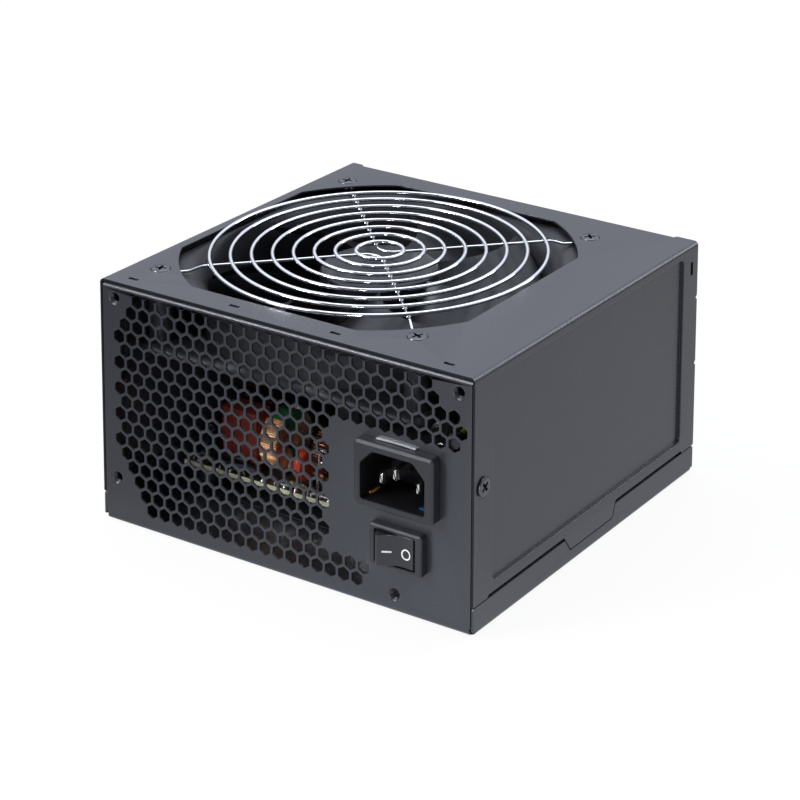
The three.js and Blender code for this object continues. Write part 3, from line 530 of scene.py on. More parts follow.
COAT = coat_mat("case_coating", (0.0235, 0.0247, 0.0305), 0.31, grain=0.12, spec=0.68)
CHROME = metal_mat("chrome_wire", (0.84, 0.86, 0.90), 0.06, grain=0.006, tarnish=0.08)
FANBLK = plastic_mat("fan_frame_plastic", (0.024, 0.0245, 0.028), 0.46, 0.04, spec=0.4)
BLADE = plastic_mat("impeller_plastic", (0.013, 0.0135, 0.016), 0.32, 0.0, spec=0.42, var=0.05, coat=0.0, painted_edge_highlight=False)
BLACK = plastic_mat("black_plastic", (0.012, 0.0123, 0.0145), 0.50, 0.06, spec=0.66)
ROCKER = plastic_mat("rocker_plastic", (0.008, 0.0082, 0.010), 0.28, 0.06, spec=0.7)
WHITE = plastic_mat("white_mark", (0.86, 0.86, 0.86), 0.4, 0.05, var=0.02, painted_edge_highlight=False)
CONTACT = metal_mat("contact_metal", (0.84, 0.83, 0.80), 0.18, brushed=(1, 0.1, 1))
SCREW = metal_mat("dark_screw", (0.13, 0.135, 0.15), 0.26, tarnish=0.2)
ZINC = metal_mat("bright_screw", (0.66, 0.67, 0.69), 0.28)
STEEL = metal_mat("sheet_steel", (0.72, 0.72, 0.73), 0.22, brushed=(0.1, 1, 1))
STRIP = metal_mat("spring_strip", (0.95, 0.96, 0.98), 0.46, grain=0.02, tarnish=0.0)
# painted shade: a darker copy of the black plastic for the walls and floors inside the inlet cavity, the switch opening
# and the socket cells
CAVITY_SHADE_PLASTIC = plastic_mat("cavity_plastic_painted_shade", (0.004, 0.004, 0.005), 0.45, 0.06, painted_edge_highlight=False)
# painted glints: flat amber and blue pieces lying on the inlet cavity floor stand in for coloured glints seen there
AMBER_GLINT = plastic_mat("amber_glint_paint", (0.75, 0.30, 0.03), 0.25, 0.03, coat=0.4, painted_edge_highlight=False)
BLUE_GLINT = plastic_mat("blue_glint_paint", (0.012, 0.07, 0.17), 0.25, 0.03, coat=0.4, painted_edge_highlight=False)


# ------------------------------------------------------------------ case base
HEX_PITCH, HEX_FLATS, HEX_TOP_Z, HEX_LEFT_X = 5.28, 4.3, 80.7, -67.2
HEX_ROW = HEX_PITCH * math.sqrt(3) / 2
HEX_ROWS = [(3, 47), (2, 48), (1, 51), (0, 52), (1, 51), (0, 32), (1, 31), (0, 32), (1, 31), (0, 32), (1, 31), (0, 32),
            (1, 31), (2, 32), (3, 31), (4, 38), (5, 37)]
ATX_HOLES = [(-69, 80), (69, 80), (-69, 16), (45, 6)]
INLET = dict(x=47.1, z=46.4, w=30.4, h=22.0, cx=46.9, cz=46.3, cw=24.4, ch=16.6, cham=4.6)
SWITCH = dict(x=47.4, z=23.15, w=20.2, h=14.0, cx=47.25, ow=15.5, oh=11.0)
SOCKETS = [("output_socket_24pin", -32, 22, 52.6, 12), ("output_socket_8pin_1", -49.4, 41, 18.4, 4), ("output_socket_8pin_2", -25.2, 41, 18.4, 4),
           ("output_socket_8pin_3", -1.0, 41, 18.4, 4), ("output_socket_8pin_4", 23.2, 41, 18.4, 4), ("output_socket_6pin_1", 11.2, 22, 14.2, 3),
           ("output_socket_6pin_2", 33.2, 22, 14.2, 3)]
PCB_HOLES = [(-64, -28), (64, -28), (-64, 50), (64, 50)]
PX, PT = 73.9, 84.8           # rear and front panels: half width, top


def rear_to(u, v, w):
    return (u, -Y + w, v)


def front_to(u, v, w):
    return (u, Y - w, v)


def side_to(s):
    return lambda u, v, w: (s * (X - w), u, v)


def base_shell():
    g = Geo()
    cr = RB - T
    zt = PT - RB
    panel = [(-73.4, 1.6), (73.4, 1.6), (73.4, 2.3), (PX, 2.8), (PX, zt), (-PX, zt), (-PX, 2.8), (-73.4, 2.3)]
    holes = []
    R = HEX_FLATS / math.sqrt(3)
    rim = [(0.10, 0.0), (0.03, 0.03), (0.0, 0.10), (0.0, 0.70), (0.10, 0.8)]
    for row, (a, b) in enumerate(HEX_ROWS):
        for i in range(a, b + 1, 2):
            hexa = circ(HEX_LEFT_X + i * HEX_PITCH / 2, HEX_TOP_Z - row * HEX_ROW, R, 6, math.pi / 6)
            holes.append((rounded(hexa, 0.16, 1), rim))
    thread = [(1.05, 0.0), (0.85, 0.03), (0.5, 0.16), (0.2, 0.42), (0.04, 0.75), (-0.16, 0.95), (0.02, 1.15), (-0.16, 1.35), (0.02, 1.55), (-0.14, 1.75),
              (0.1, 2.0), (0.75, 2.0), (0.85, 1.9), (0.9, 1.05), (1.15, 0.8)]
    for x, z in ATX_HOLES:
        holes.append((circ(x, z, 1.7, 28), thread))
    cut = [(0.0, 0.0), (0.0, 0.8)]
    holes.append((rrect(INLET["cx"] - 13.6, INLET["cx"] + 13.6, INLET["cz"] - 9.6, INLET["cz"] + 9.6, 0.8, 3), cut))
    holes.append((rrect(SWITCH["cx"] - 9.3, SWITCH["cx"] + 9.3, SWITCH["z"] - 6.8, SWITCH["z"] + 6.8, 0.5, 3), cut))
    plate(g, rear_to, panel, holes, skip=(0, 4))
    fh = [(rrect(x - w / 2 - 0.35, x + w / 2 + 0.35, z - 5.65, z + 5.65, 0.4, 3), [(0.06, 0.0), (0.0, 0.06), (0.0, 0.74), (0.06, 0.8)]) for _, x, z, w, _ in SOCKETS]
    plate(g, front_to, panel, fh, skip=(0, 4))
    # bottom, with embossed stand-offs and shallow stiffening beads
    bh = []
    for x, y in PCB_HOLES:
        bh.append((circ(x, -y, 5.2, 28), [(0.3, 0.0), (0.08, 0.06), (-0.1, 0.3), (-1.5, 5.9), (-1.7, 6.25), (-2.0, 6.4), (-3.6, 6.4), (-3.6, 7.1),
                                          (-2.0, 7.1), (-1.75, 7.0), (-1.6, 6.8), (-0.0, 0.95), (0.3, 0.8)]))
    foot = [(-73.4, -68.4), (73.4, -68.4), (73.4, 68.4), (-73.4, 68.4)]
    g_pan = []
    for x in (-36, 36):
        g_pan.append(rrect(x - 4, x + 4, -44, 44, 3.9, 6))
    plate_with_pans(g, lambda u, v, w: (u, -v, w), foot, bh, [(l, [(0, 0), (-0.25, 0.03), (-1.1, 0.42), (-1.5, 0.5)], [(0.2, 0.8), (-0.1, 0.84), (-1.0, 1.24), (-1.3, 1.3)]) for l in g_pan],
                    skip=(0, 1, 2, 3))
    for s in (-1, 1):
        # long bends from the bottom into rear and front panels, then into the top flanges
        bend(g, "x", -73.4, 73.4, (s * 68.4, 1.6), RB, cr, math.pi * (1.5), math.pi * (1.5 + 0.5 * s), 8)
        bend(g, "x", -PX, PX, (s * 68.4, zt), RB, cr, 0 if s > 0 else math.pi, math.pi / 2, 8)
        plate(g, lambda u, v, w, s=s: (u, s * v, PT - w), [(-PX, 62.6), (-PX + 2.0, 62.0), (PX - 2.0, 62.0), (PX, 62.6), (PX, 68.4), (-PX, 68.4)], [], skip=(4,))
        # side lips
        bend(g, "y", -68.4, 68.4, (s * 73.4, 1.6), RB, cr, math.pi * 1.5, math.pi * (1.5 + 0.5 * s), 8)
        lip = [(-69.75, 1.6), (-68.4, 1.6), (68.4, 1.6), (69.75, 1.6), (69.75, 8.9), (69.2, 9.5), (16.3, 9.5), (16.15, 9.2), (15.05, 5.95), (14.75, 5.3), (13.9, 4.8),
               (-12.4, 4.8), (-13.15, 5.25), (-13.5, 5.9), (-15.8, 9.25), (-16.0, 9.5), (-69.2, 9.5), (-69.75, 8.9)]
        plate(g, side_to(s), lip, [], skip=(1,))
        # joggled strip behind the seam, spot-welded to the lip
        strip = [(-60, 2.9), (-59.6, 2.5), (59.6, 2.5), (60, 2.9), (60, 12.0), (59.4, 12.6), (-59.4, 12.6), (-60, 12.0)]
        plate(g, lambda u, v, w, s=s: (s * (73.8 - w), u, v), strip, [], edge=0.06)
        for y in (-50, -30, 30, 50):
            lathe(g, [(0, 0), (2.2, 0), (2.2, 0.7), (0, 0.7)], 16, (73.6 if s > 0 else -74.3, y, 6.5), "x")
        # landing for the cover's side screw
        land = [(-69.3, 41), (-62.2, 41), (-61.2, 42), (-61.2, 56), (-62.2, 57), (-69.3, 57)]
        plate(g, lambda u, v, w, s=s: (s * (73.9 - w), u, v), land, [(circ(-65, 48.7, 1.75, 20), [(0.1, 0.0), (0.0, 0.1), (0, 0.8)])])
    return g


def plate_with_pans(g, to, outer, holes, pans, t=T, skip=(), mat=0, edge=0.0):
    """plate() plus pressed-in floors. pans: (loop, front profile, back profile)."""
    outer = ccw(outer)
    holes = [(ccw(l), p) for l, p in holes]
    pans = [(ccw(l), f, b) for l, f, b in pans]
    fr = [offset(l, p[0][0]) for l, p in holes] + [offset(l, f[0][0]) for l, f, b in pans]
    bk = [offset(l, p[-1][0]) for l, p in holes] + [offset(l, b[0][0]) for l, f, b in pans]
    for loops, w, flip in ((fr, 0.0, False), (bk, t, True)):
        tris = cdt_fill(outer, loops)
        pts = [p for l in [outer] + loops for p in l]
        g.add([to(p[0], p[1], w) for p in pts], [tuple(reversed(q)) if flip else tuple(q) for q in tris], mat)
    n = len(outer)
    for i in range(n):
        if i not in skip:
            a, b = outer[i], outer[(i + 1) % n]
            g.add([to(*a, 0.0), to(*a, t), to(*b, t), to(*b, 0.0)], [(0, 1, 2, 3)], mat)
    for loop, prof in holes:
        m = len(loop)
        vs = [to(*p, w) for o, w in prof for p in offset(loop, o)]
        fs = [(k * m + i, k * m + (i + 1) % m, (k + 1) * m + (i + 1) % m, (k + 1) * m + i) for k in range(len(prof) - 1) for i in range(m)]
        g.add(vs, fs, mat)
    for loop, f, b in pans:
        pan(g, to, loop, f, b, mat)


base = make("case_base", base_shell(), COAT, repl="base_chassis", slot="case_coating", angle=34)


# ------------------------------------------------------------------ cover
def opening_loop():
    h, R = 59.2, 68.0
    k = math.sqrt(R * R - h * h)
    a0 = math.atan2(k, h)
    pts = []
    for q in range(4):
        for i in range(11):
            a = a0 + (math.pi / 2 - 2 * a0) * i / 10 + q * math.pi / 2
            pts.append((FX + R * math.cos(a), FY + R * math.sin(a)))
    return pts


def cover_shell():
    g = Geo()
    xb, zb = X - RB, H - RB
    top = [(-xb, -Y), (xb, -Y), (xb, Y), (66.7, Y), (66.1, 69.6), (66.0, 68.7), (-69.0, 68.7), (-69.1, 69.6), (-69.7, Y), (-xb, Y)]
    holes = [(opening_loop(), [(0.22, 0.0), (0.07, 0.07), (0.0, 0.22), (0.0, 0.66), (0.14, 0.8)])]
    sink = [(1.4, 0.0), (1.26, 0.04), (1.16, 0.2), (0.2, 0.78), (0.0, 0.88), (0.0, 0.97), (0.35, 0.97), (1.5, 0.86), (2.1, 0.8)]
    for sx in (-1, 1):
        for sy in (-1, 1):
            holes.append((circ(FX + 52.5 * sx, FY + 52.5 * sy, 2.3, 32), sink))
    for x in (-65, -22.4, 18.2, 61.8):
        holes.append((rrect(x - 2, x + 2, -65.5, -64.0, 0.35, 3), [(0.05, 0.0), (0.0, 0.05), (0.0, 0.75), (0.05, 0.8)]))
    plate(g, lambda u, v, w: (u, v, H - w), top, holes, skip=(1, 9))
    side = [(-Y, 9.9), (-62.1, 9.9), (-61.3, 10.8), (-16.5, 10.8), (-15.9, 10.0), (-13.3, 6.4), (-12.85, 5.6), (-12.1, 5.2), (13.5, 5.2), (14.3, 5.6), (14.65, 6.3),
            (15.9, 10.0), (16.5, 10.8), (61.0, 10.8), (61.8, 9.9), (69.6, 9.9), (Y, 10.3), (Y, 40.1), (69.1, 41), (Y, 41.9), (Y, 64.6), (69.1, 65.5), (Y, 66.4), (Y, zb), (-Y, zb)]
    rec = rrect(-59.5, 60.5, 14.0, 82.8, 2.6, 6)
    front = [(0.0, 0.0), (-0.13, 0.02), (-0.25, 0.07), (-0.34, 0.17), (-0.38, 0.32), (-0.39, 0.85), (-0.42, 1.02), (-0.52, 1.08)]
    back = [(0.55, 0.8), (0.48, 0.84), (0.43, 1.0), (0.40, 1.5), (0.3, 1.8), (0.1, 1.88)]
    for s in (-1, 1):
        sh = [(circ(-65, 48.7, 1.9, 28), [(2.2, 0.0), (2.05, 0.03), (1.85, 0.13), (0.2, 0.16), (0.0, 0.25), (0.0, 0.8)]),
              (rrect(64.95, 66.65, 74.7, 79.7, 0.3, 3), [(0.05, 0.0), (0.0, 0.05), (0.0, 0.75), (0.05, 0.8)])]
        plate_with_pans(g, side_to(s), side, sh, [(rec, front, back)], skip=(23,))
        bend(g, "y", -Y, Y, (s * xb, zb), RB, RB - T, 0 if s > 0 else math.pi, math.pi / 2, 10)
    return g


# painted shade: a near-black copy of the coat stands in for the shadow along the cover's rear edge
SHADE_EDGE_COAT = coat_mat("case_coating_painted_shade_edge", (0.006, 0.006, 0.008), 0.5, grain=0.5, spec=0.3)
cover = make("case_cover", cover_shell(), [COAT, SHADE_EDGE_COAT], repl="top_cover", slot="case_coating", angle=30)
# the cover's rear-facing edge faces along its top and down its sides get the painted-shade coat
for p in cover.data.polygons:
    if p.normal.y < -0.9 and p.center.y < -0.0699 and (p.center.z > 0.0845 or abs(p.center.x) > 0.0735):
        p.material_index = 1


# ------------------------------------------------------------------ screws
def cross_loop(w, l, r=0.0):
    a, b = w / 2, l / 2
    pts = [(b, -a), (b, a), (a, a), (a, b), (-a, b), (-a, a), (-b, a), (-b, -a), (-a, -a), (-a, -b), (a, -b), (a, -a)]
    return rounded(pts, r, 2) if r else pts


def turn(loop, a):
    c, s = math.cos(a), math.sin(a)
    return [(x * c - y * s, x * s + y * c) for x, y in loop]


def screw(g, to, prof, cw, cl, depth, n=36, ang=0.0, dish=0.0, mat=0, rmat=0):
    """A cross-recess screw. prof: (radius, depth) from the top rim down to the tip."""
    cross = turn(cross_loop(cw, cl, 0.12), ang)
    rim = circ(0, 0, prof[0][0], n)
    tris = cdt_fill(rim, [cross])
    g.add([to(x, y, prof[0][1] - (dish if i >= n else 0.0)) for i, (x, y) in enumerate(rim + cross)], tris, mat)
    m = len(cross)
    # the recess walls and floor take rmat; the fan and side screws pass a near-black metal there as painted shade
    levels = [(offset(cross, -0.0), prof[0][1] - dish), (offset(cross, -0.06), prof[0][1] - dish + 0.08), (offset(cross, -0.16), depth)]
    stack(g, to, levels, caps=(False, True), mat=rmat)
    loops = [(circ(0, 0, r, n), w) for r, w in prof]
    stack(g, to, loops, caps=(False, True), mat=mat)


def thread(r0, r1, w0, w1, pitch):
    out, w = [], w0
    while w + pitch <= w1 + 1e-6:
        out += [(r0, w), (r1, w + pitch * 0.42), (r1, w + pitch * 0.55), (r0, w + pitch * 0.97)]
        w += pitch
    return out


# painted shade: the cross recesses of the fan and side screws take a near-black metal for the shade inside them
RECESS_SHADE_METAL = metal_mat("screw_recess_painted_shade", (0.03, 0.03, 0.034), 0.5, tarnish=0.3)
csk = [(2.45, -0.62), (2.85, -0.56), (3.12, -0.42), (3.25, -0.2), (3.22, 0.1), (1.95, 1.15)] + thread(1.55, 1.95, 1.3, 12.6, 1.25) + [(1.5, 13.0), (0.9, 13.8)]
for i, (sx, sy) in enumerate([(-1, -1), (1, -1), (-1, 1), (1, 1)]):
    g = Geo()
    cx, cy = FX + 52.5 * sx, FY + 52.5 * sy
    screw(g, lambda u, v, w, cx=cx, cy=cy: (cx + u, cy + v, 85.62 - w), csk, 0.98, 4.1, 1.3, ang=[0.35, 1.15, 0.1, 0.75][i], dish=0.0, rmat=1)
    make(f"fan_screw_head_{i + 1}", g, [SCREW, RECESS_SHADE_METAL], repl=f"fan_screw_{i + 1}", slot="dark_screw", angle=28)
pan_head = [(2.5, 0.0), (2.82, 0.05), (3.05, 0.16), (3.13, 0.32), (3.13, 0.52), (3.05, 0.62), (1.6, 0.64)] + thread(1.2, 1.45, 0.8, 5.8, 0.8) + [(1.15, 6.0), (0.8, 6.25)]
for name, s in (("cover_screw_right", 1), ("cover_screw_left", -1)):
    g = Geo()
    screw(g, lambda u, v, w, s=s: (s * (75.74 - w), -65 + u, 48.7 + v), pan_head, 1.0, 3.7, 0.85, ang=0.66 if s > 0 else 0.9, rmat=1)
    make(name.replace("cover_screw", "cover_side_screw"), g, [SCREW, RECESS_SHADE_METAL], repl=name, slot="dark_screw", angle=28)


# ------------------------------------------------------------------ fan grille
def grille():
    g = Geo()
    zr, wr, sr = 86.75, 0.71, 0.5
    zs = zr - wr - sr + 0.12
    rings = [57.8, 50.7, 43.6, 36.5, 29.4, 22.3, 15.2, 8.1]
    for k, R in enumerate(rings):
        n = max(48, int(2 * math.pi * R / 2.0))
        ph = 0.3 + k * 0.7
        path = [(FX + R * math.cos(ph + 2 * math.pi * i / n), FY + R * math.sin(ph + 2 * math.pi * i / n), zr) for i in range(n)]
        sweep(g, path, wr, 14, closed=True)
    for s in (-1, 1):
        half = [(0.0, 2.55), (1.6, 2.75), (3.1, 3.35), (4.6, 4.7), (6.4, 6.4)]
        for r, z in ((14, zs), (30, zs), (46, zs), (58.5, zs), (60.5, zs - 0.12), (62.6, zs - 0.7), (64.4, 84.35), (66.2, 84.2), (70.0, 84.2), (71.0, 84.2)):
            half.append((r / math.sqrt(2), r / math.sqrt(2), z))
        pts = [(u[0], u[1], u[2] if len(u) > 2 else zs) for u in half]
        full = [(-x, y, z) for x, y, z in reversed(pts[1:])] + pts
        path = smooth_path([(FX + x, FY + s * y, z) for x, y, z in full], 5)
        sweep(g, path, sr, 12)
    for sx in (-1, 1):
        for sy in (-1, 1):
            c = (FX + 52.5 * sx, FY + 52.5 * sy)
            n = 36
            sweep(g, [(c[0] + 3.5 * math.cos(2 * math.pi * i / n), c[1] + 3.5 * math.sin(2 * math.pi * i / n), 84.22) for i in range(n)], 0.62, 10, closed=True)
            for R in rings:
                q = R / math.sqrt(2)
                bead = [(0, -0.62), (0.5, -0.5), (0.86, -0.2), (0.95, 0.1), (0.78, 0.45), (0.4, 0.66), (0, 0.7)]
                lathe(g, bead, 12, (FX + sx * q, FY + sy * q, zr - wr - 0.02), "z")
    return g


make("fan_guard", grille(), CHROME, repl="fan_grille", slot="chrome_wire", angle=40)


# ------------------------------------------------------------------ fan frame
def carve(ob, cutter):
    """Cuts a closed shape out of ob, exactly, and keeps the result as its mesh."""
    me = bpy.data.meshes.new("cut")
    me.from_pydata([(x * MM, y * MM, z * MM) for x, y, z in cutter.v], [], cutter.f)
    bm = bmesh.new(); bm.from_mesh(me)
    bmesh.ops.remove_doubles(bm, verts=bm.verts, dist=1e-7)
    bmesh.ops.recalc_face_normals(bm, faces=bm.faces)
    bm.to_mesh(me); bm.free()
    co = bpy.data.objects.new("cutter", me)
    bpy.context.scene.collection.objects.link(co)
    mod = ob.modifiers.new("cut", "BOOLEAN")
    mod.operation, mod.object, mod.solver = "DIFFERENCE", co, "EXACT"
    bpy.context.view_layer.update()
    dg = bpy.context.evaluated_depsgraph_get()
    new = bpy.data.meshes.new_from_object(ob.evaluated_get(dg))
    ob.modifiers.remove(mod)
    ob.data = new
    bpy.data.objects.remove(co)


def square_r(th, half, cr):
    """Distance from the centre to a rounded square's edge."""
    c, s = abs(math.cos(th)), abs(math.sin(th))
    r = half / max(c, s)
    k = half - cr
    x, y = r * c, r * s
    if x > k and y > k:
        b = k * (c + s)
        r = b + math.sqrt(max(0.0, b * b - (2 * k * k - cr * cr)))
    return r


def loft_polar(g, n, rings, c, mat=0):
    """A closed ring of profiles: rings is a list of (r(theta), z)."""
    vs = []
    for rf, z in rings:
        for i in range(n):
            th = 2 * math.pi * i / n
            r = rf(th) if callable(rf) else rf
            zz = z(th) if callable(z) else z
            vs.append((c[0] + r * math.cos(th), c[1] + r * math.sin(th), c[2] + zz))
    m, fs = len(rings), []
    for k in range(m):
        for i in range(n):
            j = (i + 1) % n
            a = ((k + 1) % m)
            fs.append((k * n + i, k * n + j, a * n + j, a * n + i))
    g.add(vs, fs, mat)


def fan_frame():
    g = Geo()
    sq = lambda d: (lambda th: square_r(th, 60.0 - d, 5.0 - d))
    fl = lambda t: (lambda th: 58.3 + (min(66.0, square_r(th, 60.0, 5.0) - 1.1) - 58.3) * (1 - math.cos(t)))
    rings = [(58.3, 2.0), (58.3, 16.0)]
    for i in range(1, 9):
        t = math.pi / 2 * i / 8
        rings.append((fl(t), 16.0 + 8.8 * math.sin(t)))
    rings += [(lambda th: min(66.8, square_r(th, 60.0, 5.0) - 0.6), 25.0), (sq(0.5), 25.0), (sq(0.12), 24.88), (sq(0.0), 24.5), (sq(0.0), 21.4),
              (lambda th: max(59.85, min(66.5, square_r(th, 60, 5) - 0.1)), 21.3), (lambda th: max(59.8, min(62.5, square_r(th, 60, 5) - 0.12)), 18.5), (59.75, 15.0),
              (59.75, 3.8), (sq(0.0), 3.6), (sq(0.0), 0.5), (sq(0.15), 0.1), (sq(0.5), 0.0), (59.3, 0.0), (58.7, 0.25), (58.35, 1.0)]
    loft_polar(g, 184, rings, (FX, FY, FBOT))
    return g


ff = make("fan_housing", fan_frame(), FANBLK, repl="fan_frame", slot="fan_plastic", angle=32)
cut = Geo()
for sx in (-1, 1):
    for sy in (-1, 1):
        lathe(cut, [(0, -1), (2.15, -1), (2.15, 27), (0, 27)], 24, (FX + 52.5 * sx, FY + 52.5 * sy, FBOT), "z")
carve(ff, cut)
ff.data.set_sharp_from_angle(angle=math.radians(32))


def fan_hub():
    g = Geo()
    c = (FX, FY, FBOT)
    lathe(g, [(0, 0), (20.4, 0), (20.8, 0.12), (21.0, 0.5), (21.0, 2.0), (20.8, 2.35), (20.3, 2.5), (19.4, 2.5), (19.2, 2.3), (6.2, 2.3), (5.0, 2.5), (4.62, 3.1), (4.6, 17.2),
              (4.45, 17.5), (3.35, 17.5), (3.2, 17.35), (3.2, 2.4), (0, 2.4)], 56, c, "z")
    for k in range(4):
        a = math.pi / 4 + k * math.pi / 2 + 0.12
        w = 2.1 if k else 3.1
        prof = rounded([(-w, 0.0), (w, 0.0), (w * 0.75, 3.0), (-w * 0.75, 3.0)], 0.5, 3)
        vs, m = [], len(prof)
        for r, bow in ((19.0, 0.0), (26.0, 0.6), (34.0, 0.9), (44.0, 0.8), (52.0, 0.4), (59.0, 0.0)):
            for u, z in prof:
                x, y = r, u + bow
                vs.append((FX + x * math.cos(a) - y * math.sin(a), FY + x * math.sin(a) + y * math.cos(a), FBOT + z + 0.02))
        fs = [(i * m + j, i * m + (j + 1) % m, (i + 1) * m + (j + 1) % m, (i + 1) * m + j) for i in range(5) for j in range(m)]
        fs += [tuple(range(m)), tuple(reversed(range(5 * m, 6 * m)))]
        g.add(vs, fs)
    for sx in (-1, 1):
        for sy in (-1, 1):
            lathe(g, [(2.2, 3.4), (4.3, 3.4), (4.15, 12), (4.3, 21.6), (2.2, 21.6)], 24, (FX + 52.5 * sx, FY + 52.5 * sy, FBOT), "z", closed=True)
    return g


make("fan_hub_and_struts", fan_hub(), FANBLK, slot="fan_plastic", angle=35)
g = Geo()
lathe(g, [(1.6, 2.9), (1.75, 2.7), (2.9, 2.7), (3.05, 2.9), (3.05, 17.1), (2.9, 17.3), (1.75, 17.3), (1.6, 17.1)], 32, (FX, FY, FBOT), "z", closed=True)
BRASS = metal_mat("bearing_brass", (0.62, 0.44, 0.18), 0.28)
make("fan_sleeve_bearing", g, BRASS, repl="fan_bearing", slot="bearing_brass")


def stator():
    g = Geo()
    c = (FX, FY, FBOT)
    lathe(g, [(4.95, 8.0), (8.2, 8.0), (8.2, 11.6), (4.95, 11.6)], 40, c, "z", closed=True, mat=1)
    for k in range(4):
        a0 = k * math.pi / 2 + 0.2
        for z in range(6):
            zz = 8.05 + z * 0.6
            outer = [(14.3 * math.cos(a0 + t), 14.3 * math.sin(a0 + t)) for t in [(-0.62 + 1.24 * i / 10) for i in range(11)]]
            inner = [(12.6 * math.cos(a0 + t), 12.6 * math.sin(a0 + t)) for t in [(0.62 - 1.24 * i / 10) for i in range(11)]]
            stack(g, lambda u, v, w, zz=zz: (FX + u, FY + v, FBOT + zz + w), [(outer + inner, 0), (outer + inner, 0.52)], mat=1)
        ca, sa = math.cos(a0), math.sin(a0)
        for t in range(7):
            r = 8.6 + t * 0.58
            loop = rrect(-3.3, 3.3, -3.4, 3.4, 1.6, 4)
            sweep(g, [(FX + r * ca - u * sa, FY + r * sa + u * ca, FBOT + 9.8 + v) for u, v in loop], 0.29, 6, closed=True, mat=0)
    return g


COPPER = metal_mat("winding", (0.92, 0.42, 0.20), 0.24, tarnish=0.25, scale=900)
make("fan_stator_coils", stator(), [COPPER, STEEL], repl="fan_stator", slot="winding")


# ------------------------------------------------------------------ impeller
def impeller():
    g = Geo()
    c = (FX, FY, FBOT)
    top, bot = 23.0, 3.4
    lathe(g, [(0, top - 0.35), (6.0, top - 0.35), (6.4, top - 0.3), (6.7, top - 0.05), (7.1, top), (18.2, top), (19.1, top - 0.08), (19.8, top - 0.35), (20.25, top - 0.8), (20.5, top - 1.6),
              (20.5, bot + 0.3), (20.3, bot), (18.5, bot), (18.25, bot + 0.25), (18.2, top - 2.6), (17.8, top - 2.2), (0, top - 2.2)], 84, c, "z")
    NR, NC, B = 18, 18, 7
    for k in range(B):
        vs = []
        for i in range(NR + 1):
            q = i / NR
            r = 20.5 - 1.0 + (56.8 - 20.5 + 1.0) * q
            lead = k * 2 * math.pi / B + 0.34 * q * q - 0.05
            chord = 0.80 - 0.12 * q
            if q > 0.9:
                chord -= (q - 0.9) ** 2 * 5.0
                lead -= (q - 0.9) ** 2 * 2.0
            row_t, row_b = [], []
            for j in range(NC + 1):
                s = j / NC
                a = lead - chord * s
                z = top - 0.9 - (15.6 - 3.4 * q) * (1.25 * s - 0.25 * s * s) + FBOT
                th = 1.35 * math.sqrt(max(0.0, 1 - (1 - s * 5) ** 2)) if s < 0.2 else 1.35 - 0.75 * (s - 0.2) / 0.8
                th = max(th, 0.12) * (1.0 if q < 0.96 else 0.75)
                row_t.append((FX + r * math.cos(a), FY + r * math.sin(a), z))
                row_b.append((FX + r * math.cos(a), FY + r * math.sin(a), z - th))
            vs += row_t + list(reversed(row_b))
        m = 2 * (NC + 1)
        fs = [(i * m + j, i * m + (j + 1) % m, (i + 1) * m + (j + 1) % m, (i + 1) * m + j) for i in range(NR) for j in range(m)]
        fs += [tuple(range(m)), tuple(reversed(range(NR * m, (NR + 1) * m)))]
        g.add(vs, fs)
    return g


make("fan_blades", impeller(), BLADE, body="fan_rotor", repl="fan_impeller", slot="impeller_plastic", angle=38)
g = Geo()
lathe(g, [(15.8, 4.3), (15.95, 4.2), (17.75, 4.2), (17.9, 4.3), (17.9, 19.4), (17.75, 19.5), (15.95, 19.5), (15.8, 19.4)], 48, (FX, FY, FBOT), "z", closed=True)
MAGNET = plastic_mat("magnet", (0.06, 0.06, 0.06), 0.5)
make("fan_ferrite_ring", g, MAGNET, body="fan_rotor", repl="fan_magnet_ring", slot="magnet")
g = Geo()
lathe(g, [(0, 3.2), (1.2, 3.2), (1.45, 3.5), (1.45, 20.6), (0, 20.7)], 28, (FX, FY, FBOT), "z")
make("fan_spindle", g, ZINC, body="fan_rotor", repl="fan_shaft", slot="bright_screw")


# ------------------------------------------------------------------ mains inlet
def inlet_cavity(g=0.0):
    c = INLET
    x0, x1, z0, z1 = c["cx"] - c["cw"] / 2 - g, c["cx"] + c["cw"] / 2 + g, c["cz"] - c["ch"] / 2 - g, c["cz"] + c["ch"] / 2 + g
    k = c["cham"]
    return rounded([(x0, z0), (x1, z0), (x1, z1 - k), (x1 - k, z1), (x0 + k, z1), (x0, z1 - k)], 0.9, 3)


PINS = [("live", INLET["cx"] - 7, INLET["cz"] - 2, -70.1), ("neutral", INLET["cx"] + 7, INLET["cz"] - 2, -70.1), ("earth", INLET["cx"], INLET["cz"] + 2, -72.7)]


